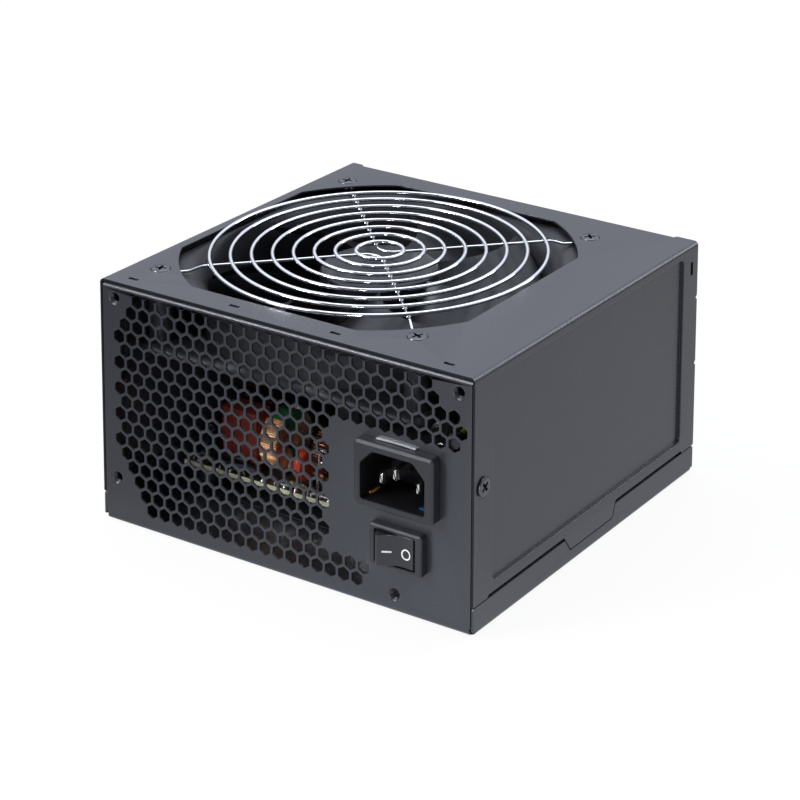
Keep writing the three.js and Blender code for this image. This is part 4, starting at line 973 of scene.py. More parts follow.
def inlet_body():
    g = Geo()
    c = INLET
    to = lambda u, v, w: (u, -74.2 + w, v)
    out = rrect(c["x"] - c["w"] / 2, c["x"] + c["w"] / 2, c["z"] - c["h"] / 2, c["z"] + c["h"] / 2, 1.3, 5)
    cav = ccw(inlet_cavity())
    face = offset(out, -1.0)
    lip = offset(cav, 0.35)
    tris = cdt_fill(face, [lip])
    g.add([to(x, z, 0) for x, z in face + lip], tris)
    body = rrect(c["cx"] - 13.3, c["cx"] + 13.3, c["cz"] - 9.3, c["cz"] + 9.3, 1.0, 5)
    stack(g, to, [(face, 0.0), (offset(out, -0.78), 0.06), (offset(out, -0.12), 0.62), (offset(out, -0.02), 0.78), (out, 1.0), (out, 3.95), (offset(out, -0.12), 4.1)], caps=(False, False))
    back = offset(out, -0.12)
    tris = cdt_fill(back, [body])
    g.add([to(x, z, 4.1) for x, z in back + body], tris)
    stack(g, to, [(body, 4.1), (body, 18.6), (offset(body, -0.35), 19.0), (offset(body, -0.6), 19.2)], caps=(False, True))
    # cavity, with a ledge half way and raised collars around the pin roots; its walls and floor take the darker
    # painted-shade plastic
    stack(g, to, [(lip, 0.0), (offset(cav, 0.1), 0.1), (cav, 0.35), (offset(cav, -0.1), 9.0), (offset(cav, -0.18), 16.8), (offset(cav, -0.35), 17.0)], caps=(False, False), mat=1)
    floor = offset(cav, -0.35)
    slots = [rrect(x - 1.15, x + 1.15, z - 2.15, z + 2.15, 0.25, 2) for _, x, z, _ in PINS]
    tris = cdt_fill(floor, [offset(s, 0.6) for s in slots])
    g.add([to(x, z, 17.0) for x, z in floor + [p for s in slots for p in offset(s, 0.6)]], tris, 1)
    for s in slots:
        stack(g, to, [(offset(s, 0.6), 17.0), (offset(s, 0.6), 16.1), (offset(s, 0.45), 15.9), (s, 15.9), (s, 17.8)], caps=(False, True), mat=1)
    # snap-in cheeks on both sides, behind the panel
    for s in (-1, 1):
        x = c["cx"] + s * 13.3
        prof = [(0, 2.9), (0, 9.5), (0.25, 9.3), (1.1, 3.3), (1.05, 3.05)] if s > 0 else [(0, 2.9), (-1.05, 3.05), (-1.1, 3.3), (-0.25, 9.3), (0, 9.5)]
        vs = [(x + u, -72.9 + w + 2.3, z) for z in (c["cz"] - 4.5, c["cz"] + 4.5) for u, w in prof]
        m = len(prof)
        g.add(vs, [(i, (i + 1) % m, m + (i + 1) % m, m + i) for i in range(m)] + [tuple(range(m)), tuple(range(m, 2 * m))])
    return g


make("inlet_shell", inlet_body(), [BLACK, CAVITY_SHADE_PLASTIC], repl="inlet_housing", slot="black_plastic", angle=30)
for (nm, x, z, tip) in PINS:
    g = Geo()
    blade = rrect(x - 1, x + 1, z - 2, z + 2, 0.16, 2)
    to = lambda u, v, w: (u, tip + w, v)
    levels = [(offset(blade, -0.62), 0.0), (offset(blade, -0.5), 0.08), (offset(blade, -0.12), 0.85), (offset(blade, -0.02), 1.15), (blade, 1.5), (blade, -50 - tip)]
    stack(g, to, levels)
    make(f"inlet_blade_{nm}", g, CONTACT, repl=f"inlet_pin_{nm}", slot="contact_metal", angle=30)
g = Geo()
strip = []
for i in range(25):
    t = i / 24
    strip.append((38.6 + 15.0 * t, 57.62 + 0.16 * math.sin(math.pi * t)))
loop = strip + [(x, z + 0.3) for x, z in reversed(strip)]
soft_prism(g, lambda u, v, w: (u, -71.1 + w, v), loop, 0.0, 1.0, 0.06, 2)
make("inlet_spring_strip", g, STRIP, repl="inlet_spring_clip", slot="chrome_wire", angle=40)
# painted glints: an amber streak and a blue patch on the cavity floor
g = Geo()
soft_prism(g, lambda u, v, w: (u, v, 38.05 + w), rounded([(34.95, -69.9), (35.7, -70.2), (36.2, -67.6), (35.8, -64.6), (35.2, -66.4)], 0.3, 3), 0.0, 0.5, 0.2, 2)
make("inlet_resin_amber", g, AMBER_GLINT, angle=35)
g = Geo()
soft_prism(g, lambda u, v, w: (u, v, 38.05 + w), rounded([(54.6, -70.6), (57.8, -70.9), (58.0, -69.3), (55.4, -69.0)], 0.4, 3), 0.0, 0.5, 0.2, 2)
make("inlet_resin_blue", g, BLUE_GLINT, angle=35)


# ------------------------------------------------------------------ rocker switch
def switch_body():
    g = Geo()
    c = SWITCH
    to = lambda u, v, w: (u, -73.2 + w, v)
    out = rrect(c["x"] - c["w"] / 2, c["x"] + c["w"] / 2, c["z"] - c["h"] / 2, c["z"] + c["h"] / 2, 0.9, 4)
    op = rrect(c["cx"] - c["ow"] / 2, c["cx"] + c["ow"] / 2, c["z"] - c["oh"] / 2, c["z"] + c["oh"] / 2, 0.5, 4)
    face, lip = offset(out, -0.75), offset(op, 0.3)
    g.add([to(x, z, 0) for x, z in face + lip], cdt_fill(face, [lip]))
    stack(g, to, [(face, 0.0), (offset(out, -0.55), 0.05), (offset(out, -0.1), 0.45), (out, 0.7), (out, 2.95), (offset(out, -0.1), 3.1)], caps=(False, False))
    back = offset(out, -0.1)
    body = rrect(c["cx"] - 9, c["cx"] + 9, c["z"] - 6.5, c["z"] + 6.5, 0.5, 4)
    g.add([to(x, z, 3.1) for x, z in back + body], cdt_fill(back, [body]))
    stack(g, to, [(body, 3.1), (body, 16.8), (offset(body, -0.4), 17.2)], caps=(False, True))
    # the opening's walls take the darker painted-shade plastic
    stack(g, to, [(lip, 0.0), (offset(op, 0.08), 0.1), (op, 0.3), (op, 13.2)], caps=(False, True), mat=1)
    for s in (-1, 1):
        x = c["cx"] + s * 9
        prof = [(0, 3.0), (0, 11.0), (s * 0.2, 10.8), (s * 0.95, 3.4), (s * 0.9, 3.15)]
        vs = [(x + u, -73.2 + w, z) for z in (c["z"] - 3.2, c["z"] + 3.2) for u, w in prof]
        m = len(prof)
        g.add(vs, [(i, (i + 1) % m, m + (i + 1) % m, m + i) for i in range(m)] + [tuple(range(m)), tuple(range(m, 2 * m))])
    return g


make("switch_shell", switch_body(), [BLACK, CAVITY_SHADE_PLASTIC], repl="switch_housing", slot="black_plastic", angle=30)
PIV = (SWITCH["cx"], -70.6, SWITCH["z"])
TILT = math.radians(15)


def rocker_to(u, v, z):
    """u along the rocker, v out of it, in its own level pose; z up."""
    return (PIV[0] + u * math.cos(TILT) + v * math.sin(TILT), PIV[1] - (-u * math.sin(TILT) + v * math.cos(TILT)), PIV[2] + z)


def rocker():
    g = Geo()
    half, crease, r = 6.5, 2.5, 7.54
    ex, ev = half * math.cos(TILT), crease + half * math.sin(TILT)
    a0, a1 = math.atan2(ev, ex), math.radians(-20)
    prof = []
    for i in range(9):                       # crease softly rounded, halves slightly dished
        t = i / 8
        u, v = t * ex, crease + t * (ev - crease)
        v -= 0.22 * math.sin(math.pi * t)
        if i == 0:
            v += 0.06
        prof.append((u, v))
    prof[-1] = (ex - 0.22, ev - 0.05)
    prof.append((ex - 0.03, ev - 0.22))
    for i in range(1, 13):
        a = a0 + (a1 - a0) * i / 12
        prof.append((r * math.cos(a), r * math.sin(a)))
    outline = prof + [(-u, v) for u, v in reversed(prof[1:])]
    outline = ccw(outline)
    loops = []
    e, hz = 0.35, 5.3
    for k in range(5):
        t = math.pi / 2 * k / 4
        loops.append((offset(outline, -e * (1 - math.sin(t))), -hz + e * (1 - math.cos(t))))
    for k in range(5):
        t = math.pi / 2 * (1 - k / 4)
        loops.append((offset(outline, -e * (1 - math.sin(t))), hz - e * (1 - math.cos(t))))
    m = len(outline)
    vs = [rocker_to(u, v, z) for l, z in loops for u, v in l]
    fs = [(k * m + i, k * m + (i + 1) % m, (k + 1) * m + (i + 1) % m, (k + 1) * m + i) for k in range(len(loops) - 1) for i in range(m)]
    b = len(g.v)
    g.add(vs, fs)
    for base, flip in ((0, True), ((len(loops) - 1) * m, False)):
        l = loops[0][0] if base == 0 else loops[-1][0]
        tris = cdt_fill(l, [])
        g.f += [tuple(b + base + i for i in (reversed(t) if flip else t)) for t in tris]
        g.m += [0] * len(tris)
    for s in (-1, 1):
        vs = []
        lev = [(1.0, s * 5.2), (1.0, s * 5.8), (0.85, s * 5.9)]
        n = 20
        for rr, z in lev:
            vs += [rocker_to(rr * math.cos(2 * math.pi * i / n), rr * math.sin(2 * math.pi * i / n), z) for i in range(n)]
        fs = [(k * n + i, k * n + (i + 1) % n, (k + 1) * n + (i + 1) % n, (k + 1) * n + i) for k in range(2) for i in range(n)]
        fs += [tuple(range(n)), tuple(range(2 * n, 3 * n))]
        g.add(vs, fs)
    return g


make("rocker_button", rocker(), ROCKER, body="rocker", repl="switch_rocker", slot="rocker_plastic", angle=30)


def half_plane(side):
    """Maps (along, up, out) on a rocker half's face to space."""
    s = side
    ex, ev = 6.5 * math.cos(TILT), 2.5 + 6.5 * math.sin(TILT)
    L = math.hypot(ex, ev - 2.5)
    du, dv = ex / L, (ev - 2.5) / L
    nu, nv = -dv, du

    def f(a, z, o):
        t = a / L
        dish = -0.22 * math.sin(math.pi * min(1, max(0, t)))
        return rocker_to(s * (a * du + nu * (o + dish)), 2.5 + a * dv + nv * (o + dish), z)
    return f


def mark(name, side, outline, inner=None):
    g = Geo()
    f = half_plane(side)
    outline = ccw(outline)
    o0, o1 = -0.16, 0.07
    if inner:
        inner = ccw(inner)
        for w in (o0, o1):
            g.add([f(x, z, w) for x, z in outline + inner], cdt_fill(outline, [inner]))
        for l in (outline, inner):
            stack(g, lambda u, v, w: f(u, v, w), [(l, o0), (l, o1)], caps=(False, False))
    else:
        stack(g, lambda u, v, w: f(u, v, w), [(outline, o0), (outline, o1)])
    make(name, g, WHITE, body="rocker", angle=40)


mark("rocker_mark_bar", -1, rrect(1.45, 4.65, -0.76, -0.24, 0.12, 2))
mark("rocker_mark_ring", 1, [(3.6 + 1.75 * math.cos(t), -0.5 + 1.85 * math.sin(t)) for t in [2 * math.pi * i / 40 for i in range(40)]],
     [(3.6 + 1.28 * math.cos(t), -0.5 + 1.38 * math.sin(t)) for t in [2 * math.pi * i / 40 for i in range(40)]])
for i, x in ((1, 42.2), (2, 52.3)):
    g = Geo()
    loop = rounded([(-55.9, 20.8), (-48.5, 20.8), (-47.5, 22.0), (-47.5, 24.4), (-48.5, 25.6), (-55.9, 25.6)], 0.4, 3)
    plate(g, lambda u, v, w, x=x: (x - 0.4 + w, u, v), loop, [(circ(-49.8, 23.2, 0.9, 20), [(0.05, 0), (0, 0.05), (0, 0.75), (0.05, 0.8)])], edge=0.08)
    make(f"switch_tab_{i}", g, CONTACT, repl=f"switch_terminal_{i}", slot="contact_metal", angle=30)


# ------------------------------------------------------------------ more materials
DARKWIND = metal_mat("dark_winding", (0.15, 0.055, 0.03), 0.30, tarnish=0.3, scale=900)
FILM = plastic_mat("film_capacitor", (0.19, 0.028, 0.018), 0.45, 0.15, scale=2200)
BOARD_TOP = board_mat("board_tan_face", (0.030, 0.022, 0.012))
BOARD_EDGE = plastic_mat("board_tan", (0.82, 0.82, 0.58), 0.6, 0.4, scale=1800, var=0.2, painted_edge_highlight=False)
GREEN = board_mat("board_green", (0.012, 0.090, 0.032))
ALU = metal_mat("heatsink_aluminium", (0.70, 0.71, 0.73), 0.30, brushed=(1, 1, 0.06))
SLEEVE = plastic_mat("capacitor_sleeve", (0.012, 0.014, 0.030), 0.22, 0.02, coat=0.3, painted_edge_highlight=False)
SLEEVE2 = plastic_mat("capacitor_sleeve_brown", (0.060, 0.020, 0.012), 0.22, 0.02, coat=0.3, painted_edge_highlight=False)
EPOXY = plastic_mat("epoxy_black", (0.012, 0.012, 0.013), 0.5, 0.3, scale=2600)
CERAMIC = plastic_mat("fuse_body", (0.62, 0.60, 0.54), 0.28, 0.04, var=0.04, painted_edge_highlight=False)
TAPE = plastic_mat("transformer_tape", (0.62, 0.42, 0.04), 0.32, 0.05, coat=0.25, painted_edge_highlight=False)
FERRITE = plastic_mat("transformer_core", (0.050, 0.047, 0.044), 0.55, 0.4, scale=2400)
BOBBIN = plastic_mat("bobbin_plastic", (0.022, 0.021, 0.020), 0.4, 0.1)
BROWNW = plastic_mat("live_insulation", (0.16, 0.055, 0.020), 0.35, 0.03, painted_edge_highlight=False)
BLUEW = plastic_mat("neutral_insulation", (0.020, 0.075, 0.28), 0.35, 0.03, painted_edge_highlight=False)
EARTHW = plastic_mat("earth_insulation", (0.16, 0.21, 0.022), 0.38, 0.03, painted_edge_highlight=False)
BLACKW = plastic_mat("black_insulation", (0.012, 0.012, 0.014), 0.35, 0.03, painted_edge_highlight=False)
REDW = plastic_mat("red_insulation", (0.30, 0.020, 0.014), 0.35, 0.03, painted_edge_highlight=False)
INSUL = plastic_mat("insulator", (0.022, 0.022, 0.024), 0.3, 0.05, painted_edge_highlight=False)
TIN = metal_mat("solder_tin", (0.78, 0.78, 0.77), 0.25, scale=2600)
NYLON = plastic_mat("nylon_white", (0.66, 0.64, 0.58), 0.35, 0.05, var=0.04, painted_edge_highlight=False)
VARISTOR = plastic_mat("varistor_red", (0.60, 0.062, 0.030), 0.30, 0.04, coat=0.3, painted_edge_highlight=False)
CORE_GREEN = plastic_mat("core_green", (0.020, 0.120, 0.050), 0.38, 0.06, painted_edge_highlight=False)
# painted light: a lighter copy of the copper for the front choke's windings, standing in for the stronger light that
# falls on them
LIT_WINDING_PAINT = metal_mat("winding_painted_light", (1.0, 0.58, 0.33), 0.42, tarnish=0.12, scale=900)
ORANGE = plastic_mat("disc_orange", (0.50, 0.14, 0.02), 0.35, 0.08, painted_edge_highlight=False)
BLUEC = plastic_mat("disc_blue", (0.03, 0.12, 0.36), 0.35, 0.08, painted_edge_highlight=False)
RESIST = plastic_mat("resistor_tan", (0.40, 0.29, 0.16), 0.4, 0.05, painted_edge_highlight=False)
SIT = 8.9


def zto(z0):
    return lambda u, v, w: (u, v, z0 + w)


# ------------------------------------------------------------------ circuit board
def pcb():
    g = Geo()
    out = rrect(-70, 70, -35, 60, 0.6, 3)
    plate(g, lambda u, v, w: (u, v, 8.8 - w), out, [(circ(x, y, 1.8, 24), [(0, 0), (0, 1.6)]) for x, y in PCB_HOLES], t=1.6)
    return g


def tag_horizontal(ob, idx):
    for p in ob.data.polygons:
        if abs(p.normal.z) > 0.8:
            p.material_index = idx


ob = make("circuit_board", pcb(), [BOARD_EDGE, BOARD_TOP], repl="main_pcb", slot="board_tan", angle=30)
tag_horizontal(ob, 1)
g = Geo()
plate(g, lambda u, v, w: (u, v, 1.5 - w), rrect(-68, 68, -38, 62, 1.0, 3), [(circ(x, y, 6.2, 28), [(0, 0), (0, 0.35)]) for x, y in PCB_HOLES] +
      [(rrect(sx * 36 - 4.4, sx * 36 + 4.4, -44, 44, 4.2, 6), [(0, 0), (0, 0.35)]) for sx in ()], t=0.35)
make("insulating_film", g, INSUL, repl="insulator_sheet", slot="insulator", angle=30)
for i, (x, y) in enumerate(PCB_HOLES):
    g = Geo()
    prof = [(1.9, 0.1), (2.3, 0.0), (2.75, 0.35), (2.9, 0.9), (2.9, 1.75), (2.75, 1.85), (1.25, 1.86), (1.25, 6.0), (0.9, 6.5)]
    screw(g, lambda u, v, w, x=x, y=y: (x + u, y + v, SIT + 1.87 - w), prof, 0.6, 2.8, 1.1, n=28, ang=0.5 * i)
    make(f"board_screw_{i + 1}", g, ZINC, repl=f"pcb_screw_{i + 1}", slot="bright_screw", angle=28)


# ------------------------------------------------------------------ wound parts
def toroid(g, c, axis, R, a, b, wr, turns, spans, core_mat=1, wire_mat=0, lead_z=None, tilt=0.0):
    """Ring core of half-width a and half-height b about an axis, wound by round wire."""
    def at(phi, rad, h):
        u, v = rad * math.cos(phi), rad * math.sin(phi)
        if axis == "x":
            return (c[0] + h, c[1] + u, c[2] + v)
        if axis == "y":
            return (c[0] + u, c[1] + h, c[2] + v)
        return (c[0] + u, c[1] + v, c[2] + h)
    sec = rrect(-a, a, -b, b, 0.7, 4)
    n, m = 56, len(sec)
    vs = [at(2 * math.pi * i / n, R + p, q) for i in range(n) for p, q in sec]
    g.add(vs, [(i * m + j, i * m + (j + 1) % m, ((i + 1) % n) * m + (j + 1) % m, ((i + 1) % n) * m + j) for i in range(n) for j in range(m)], core_mat)
    k = 16
    loop = rrect(-a - wr, a + wr, -b - wr, b + wr, 0.7 + wr, 4)
    L = [0.0]
    for i in range(len(loop)):
        p, q = loop[i], loop[(i + 1) % len(loop)]
        L.append(L[-1] + math.hypot(q[0] - p[0], q[1] - p[1]))

    def on(t):
        s = (t % 1.0) * L[-1]
        for i in range(len(loop)):
            if L[i + 1] >= s:
                f = (s - L[i]) / max(1e-9, L[i + 1] - L[i])
                p, q = loop[i], loop[(i + 1) % len(loop)]
                return p[0] + (q[0] - p[0]) * f, p[1] + (q[1] - p[1]) * f
        return loop[0]
    for s0, s1 in spans:
        path = []
        for i in range(turns * k + 1):
            t = i / k
            p, q = on(t + 0.1)
            wob = 0.06 * math.sin(i * 12.9898 + s0 * 7)
            path.append(at(s0 + (s1 - s0) * t / turns + 0.01 * math.sin(t * 5.1), R + p + wob * 0.5, q * (1.0 + 0.01 * math.sin(t * 3.3))))
        if lead_z is not None:
            for end in (0, -1):
                e = Vector(path[end])
                foot = Vector((e.x, e.y, lead_z))
                mid = Vector((e.x, e.y, min(e.z, lead_z + 3.0)))
                if e.z > lead_z + 1.0:
                    path = [foot, mid] + path if end == 0 else path + [mid, foot]
        sweep(g, path, wr, 6, mat=wire_mat)


def holder(g, x0, x1, y0, y1, z0, z1, mat=0):
    soft_prism(g, zto(z0), rrect(x0, x1, y0, y1, 0.6, 3), 0, z1 - z0, 0.2, 2, mat)


g = Geo()
toroid(g, (-35.4, -21.6, SIT + 11.2), "x", 7.0, 3.4, 3.4, 0.27, 38, [(2.14, 4.45), (-1.1, 1.0)], lead_z=SIT)
soft_prism(g, zto(SIT), rrect(-38.6, -32.2, -26, -17, 0.5, 2), 0.0, 1.4, 0.2, 2, 2)
make("choke_front_windings", g, [LIT_WINDING_PAINT, CORE_GREEN, BOBBIN], repl="common_mode_choke_1", slot="winding", angle=45)
g = Geo()
toroid(g, (-14.3, -21.6, SIT + 10.9), "x", 6.4, 3.3, 3.3, 0.36, 30, [(1.9, 4.4), (-1.2, 1.2)], lead_z=SIT)
soft_prism(g, zto(SIT), rrect(-17.5, -11.1, -26, -17, 0.5, 2), 0.0, 1.4, 0.2, 2, 2)
make("choke_rear_windings", g, [DARKWIND, FERRITE, BOBBIN], repl="common_mode_choke_2", slot="dark_winding", angle=45)
g = Geo()
toroid(g, (-57, -6.5, SIT + 12.3), "x", 8, 3.3, 3.4, 0.38, 70, [(-1.2, 2 * math.pi - 1.9)], lead_z=SIT)
make("boost_inductor", g, [DARKWIND, FERRITE], repl="pfc_inductor", slot="winding", angle=45)
g = Geo()
toroid(g, (-52, 31, SIT + 15), "x", 9.6, 4.0, 4.1, 0.5, 52, [(-1.35, 2 * math.pi - 1.8)], lead_z=SIT)
make("output_choke", g, [COPPER, TAPE], repl="output_inductor", slot="winding", angle=45)


# ------------------------------------------------------------------ film capacitor, fuse, bridge
def leads(g, pts, r=0.4, z0=SIT + 1.2, z1=SIT - 0.05, mat=0):
    for x, y in pts:
        lathe(g, [(0, z1), (0.9, z1), (0.75, z1 + 0.25), (r + 0.08, z1 + 0.6), (r, z1 + 0.9), (r, z0), (0, z0)], 10, (x, y, 0), "z", mat)


g = Geo()
soft_prism(g, zto(SIT + 0.25), rrect(-56, -41, -31, -22, 0.9, 4), 0, 21.3, 0.7, 4, e1=0.3)
for x0 in (-55.4, -42.1):
    soft_prism(g, zto(SIT), rrect(x0, x0 + 0.5, -30.2, -22.8, 0.15, 1), 0, 0.4, 0.05, 1)
make("x_capacitor_case", g, FILM, repl="x_capacitor", slot="film_capacitor", angle=35)
g = Geo()
lathe(g, [(0, 4.2), (2.5, 4.2), (2.6, 4.4), (2.6, 23.6), (2.5, 23.8), (0, 23.8)], 32, (0, -29.5, SIT + 3.2), "x")
for a in (4.0, 18.0):
    lathe(g, [(0, a), (2.6, a), (2.8, a + 0.25), (2.8, a + 5.7), (2.72, a + 6.0), (2.45, a + 6.0), (2.45, a + 5.6), (0, a + 5.6)], 32, (0, -29.5, SIT + 3.2), "x", mat=1)
for a in (6.9, 20.9):
    clip = [(-3.1, 5.6), (-2.85, 4.6), (-2.95, 2.4), (-1.9, 0.75), (-0.6, 0.35), (-0.5, 0.0), (0.5, 0.0), (0.6, 0.35), (1.9, 0.75), (2.95, 2.4), (2.85, 4.6), (3.1, 5.6)]
    inner = [(u * 0.93, v + 0.3) for u, v in reversed(clip)]
    stack(g, lambda u, v, w, a=a: (a - 1.3 + w, -29.5 + u, SIT + v), [(clip + inner, 0), (clip + inner, 2.6)], mat=1)
make("fuse_and_clips", g, [CERAMIC, TIN], repl="mains_fuse", slot="fuse_body", angle=35)
g = Geo()
outline = rounded([(-4, SIT + 3.0), (22, SIT + 3.0), (22, 31), (-1.0, 31), (-4, 28)], 0.6, 3)
plate(g, lambda u, v, w: (u, -22 + w, v), outline, [(circ(9, 25.5, 1.7, 24), [(0.2, 0.0), (0, 0.2), (0, 4.2), (0.2, 4.4)])], t=4.4, edge=0.3)
for x in (-1.5, 5.5, 12.5, 19.5):
    soft_prism(g, zto(SIT - 0.1), rrect(x - 0.5, x + 0.5, -20.2, -19.4, 0.1, 1), 0, 3.4, 0.05, 1, 1)
make("bridge_diode", g, [EPOXY, TIN], repl="bridge_rectifier", slot="epoxy_black", angle=30)


# ------------------------------------------------------------------ capacitors
def can(g, x, y, r, h, base=SIT, vent=True, mats=(0, 1), n=56):
    """Electrolytic can: sleeve with rolled top edge, bare vented top, groove over the foot."""
    s, b = mats
    lathe(g, [(0, 0.25), (r * 0.8, 0.25), (r - 0.5, 0.0), (r - 0.1, 0.3), (r, 0.7), (r, 1.8), (r - 0.45, 2.5), (r - 0.5, 2.9), (r - 0.42, 3.3), (r, 4.0), (r, h - 0.9),
              (r - 0.12, h - 0.4), (r - 0.5, h - 0.08), (r - 0.9, h), (r - 1.5, h), (r - 1.6, h - 0.16), (r - 1.6, h - 0.4)], n, (x, y, base), "z", s)
    top = circ(x, y, r - 1.55, n)
    if vent:
        k = r * 0.52
        cross = turn(cross_loop(max(0.3, r * 0.05), k * 2, 0.05), 0.6)
        cross = [(x + u, y + v) for u, v in cross]
        to = lambda u, v, w: (u, v, base + h - 0.3 - w)
        g.add([to(u, v, 0) for u, v in top + cross], cdt_fill(top, [cross]), b)
        stack(g, to, [(cross, 0), (offset(cross, -0.08), 0.22)], caps=(False, True), mat=b)
        stack(g, to, [(top, 0.0), (top, 0.6)], caps=(False, True), mat=b)
    else:
        stack(g, lambda u, v, w: (u, v, base + h - 0.3 - w), [(top, 0.0), (top, 0.6)], mat=b)


g = Geo()
can(g, 50, 17, 15, 45.3)
make("bulk_electrolytic", g, [SLEEVE, ALU], repl="bulk_capacitor", slot="capacitor_sleeve", angle=35)
for i, (x, y) in enumerate([(-44.5, 51), (-33, 51.4)]):
    g = Geo()
    can(g, x, y, 5, 20, n=32)
    make(f"output_electrolytic_{i + 1}", g, [SLEEVE2, ALU], repl=f"output_capacitor_{i + 1}", slot="capacitor_sleeve", angle=35)


# ------------------------------------------------------------------ heatsinks
def comb(length, fins, fin_len, pitch):
    pts = [(0, 0), (length, 0), (length, 3)]
    for i in range(fins - 1, -1, -1):
        a = 2 + i * pitch
        pts += [(a + 1.55, 3), (a + 1.4, 3.3), (a + 1.3, 3 + fin_len - 0.2), (a + 1.1, 3 + fin_len), (a + 0.3, 3 + fin_len), (a + 0.1, 3 + fin_len - 0.2), (a, 3.3), (a - 0.15, 3)]
    pts.append((0, 3))
    return pts


g = Geo()
soft_prism(g, lambda u, v, w: (u, v, SIT + w), [(x - 22, y - 8) for x, y in comb(50, 8, 7, 6.2)], 0, 50 - SIT, 0.12, 2)
for x in (-16, -3.5, 10, 22):
    soft_prism(g, lambda u, v, w: (u, -8 - w, v), rrect(x - 4.8, x + 4.8, 26, 41, 0.3, 2), 0.1, 4.3, 0.25, 2, 1)
    for k in (-2.5, 0, 2.5):
        sweep(g, [(x + k, -10.2, 26.2), (x + k, -10.2, SIT - 0.1)], 0.42, 6, mat=2)
    lathe(g, [(0, 0), (2.6, 0), (2.6, -0.5), (2.2, -1.6), (1.2, -1.9), (0, -1.9)], 24, (x, -12.4, 37.5), "y", 3)
make("primary_heatsink_and_switches", g, [ALU, EPOXY, TIN, ZINC], repl="primary_heatsink", slot="heatsink_aluminium", angle=30)
g = Geo()
soft_prism(g, lambda u, v, w: (u, v, SIT + w), ccw([(-22 - y, 4 + x) for x, y in comb(44, 7, 7, 6.2)]), 0, 50 - SIT, 0.12, 2)
for y in (12, 26, 40):
    soft_prism(g, lambda u, v, w: (-22 + w, u, v), rrect(y - 4.8, y + 4.8, 26, 41, 0.3, 2), 0.1, 4.3, 0.25, 2, 1)
    for k in (-2.5, 0, 2.5):
        sweep(g, [(-19.8, y + k, 26.2), (-19.8, y + k, SIT - 0.1)], 0.42, 6, mat=2)
make("secondary_heatsink_and_diodes", g, [ALU, EPOXY, TIN], repl="secondary_heatsink", slot="heatsink_aluminium", angle=30)


# ------------------------------------------------------------------ transformers
def transformer(g, x0, x1, y0, y1, z, h, leg, bulge, flange, mats=(0, 1, 2, 3)):
    """EE core around a taped winding on a pinned bobbin."""
    core, tape, bob, tin = mats
    yc0, yc1 = y0 + bulge, y1 - bulge
    e = 0.25
    soft_prism(g, zto(z), rrect(x0, x1, yc0, yc1, 0.4, 2), 0.9, leg, e, 2, core)
    soft_prism(g, zto(z), rrect(x0, x1, yc0, yc1, 0.4, 2), h - leg, h, e, 2, core)
    for a, b in ((x0, x0 + leg), (x1 - leg, x1)):
        soft_prism(g, zto(z), rrect(a, b, yc0, yc1, 0.4, 2), leg - 0.4, h - leg + 0.4, 0.1, 1, core)
    a, b = x0 + leg + 0.3, x1 - leg - 0.3
    zz = [leg + 0.5, h - leg - 0.5]
    levels = []
    out = rrect(a, b, y0, y1, min(4.0, (b - a) * 0.3), 6)
    k = 7
    for i in range(k + 1):
        w = zz[0] + (zz[1] - zz[0]) * i / k
        for d, o in ((0.0, 0.0), (0.12, 0.12)):
            if i < k or d == 0.0:
                levels.append((offset(out, -o if (i in (0, k)) else -0.05 * (i % 2) - 0.02), w + d))
    stack(g, zto(z), levels, mat=tape)
    for w in (leg - 0.1, h - leg - 0.7):
        soft_prism(g, zto(z), rrect(a - 0.2, b + 0.2, y0 - flange * 0.3, y1 + flange * 0.3, 0.6, 3), w, w + 0.8, 0.1, 1, bob)
    for yy in (yc0 - 1.6, yc1 + 1.6):
        soft_prism(g, zto(z), rrect(x0 + 1, x1 - 1, yy - 1.4, yy + 1.4, 0.3, 2), 0.0, leg - 0.3, 0.15, 1, bob)
        n = int((x1 - x0 - 6) / 4.2)
        for i in range(n + 1):
            px = x0 + 3 + i * (x1 - x0 - 6) / n
            lathe(g, [(0, -0.3), (0.42, -0.3), (0.42, 0.4), (0, 0.4)], 8, (px, yy, z), "z", tin)


g = Geo()
transformer(g, -14, 22, 9, 43, SIT, 32, 5.5, 3, 2.0)
wrap = rrect(-14.15, 22.15, 11.6, 40.4, 0.8, 3)
soft_prism(g, zto(SIT), wrap, 12.5, 19.5, 0.05, 1, 1)
make("main_transformer_wound", g, [FERRITE, TAPE, BOBBIN, TIN], repl="main_transformer", slot="transformer_core", angle=32)
g = Geo()
transformer(g, 38, 55, -21, -5, SIT, 17, 3.0, 2.2, 1.0)
make("standby_transformer_wound", g, [FERRITE, TAPE, BOBBIN, TIN], repl="standby_transformer", slot="transformer_tape", angle=32)


# ------------------------------------------------------------------ upright boards
def chip(g, to, u0, u1, v0, v1, h, pins, mat=0, pin_mat=1):
    soft_prism(g, to, rrect(u0, u1, v0, v1, 0.15, 1), 0.25, 0.25 + h, 0.15, 1, mat)
    for i in range(pins):
        u = u0 + (i + 0.5) * (u1 - u0) / pins
        for v, s in ((v0, -1), (v1, 1)):
            soft_prism(g, to, rrect(u - 0.2, u + 0.2, min(v, v + s * 1.0), max(v, v + s * 1.0), 0.05, 1), 0.0, 0.5, 0.04, 1, pin_mat)


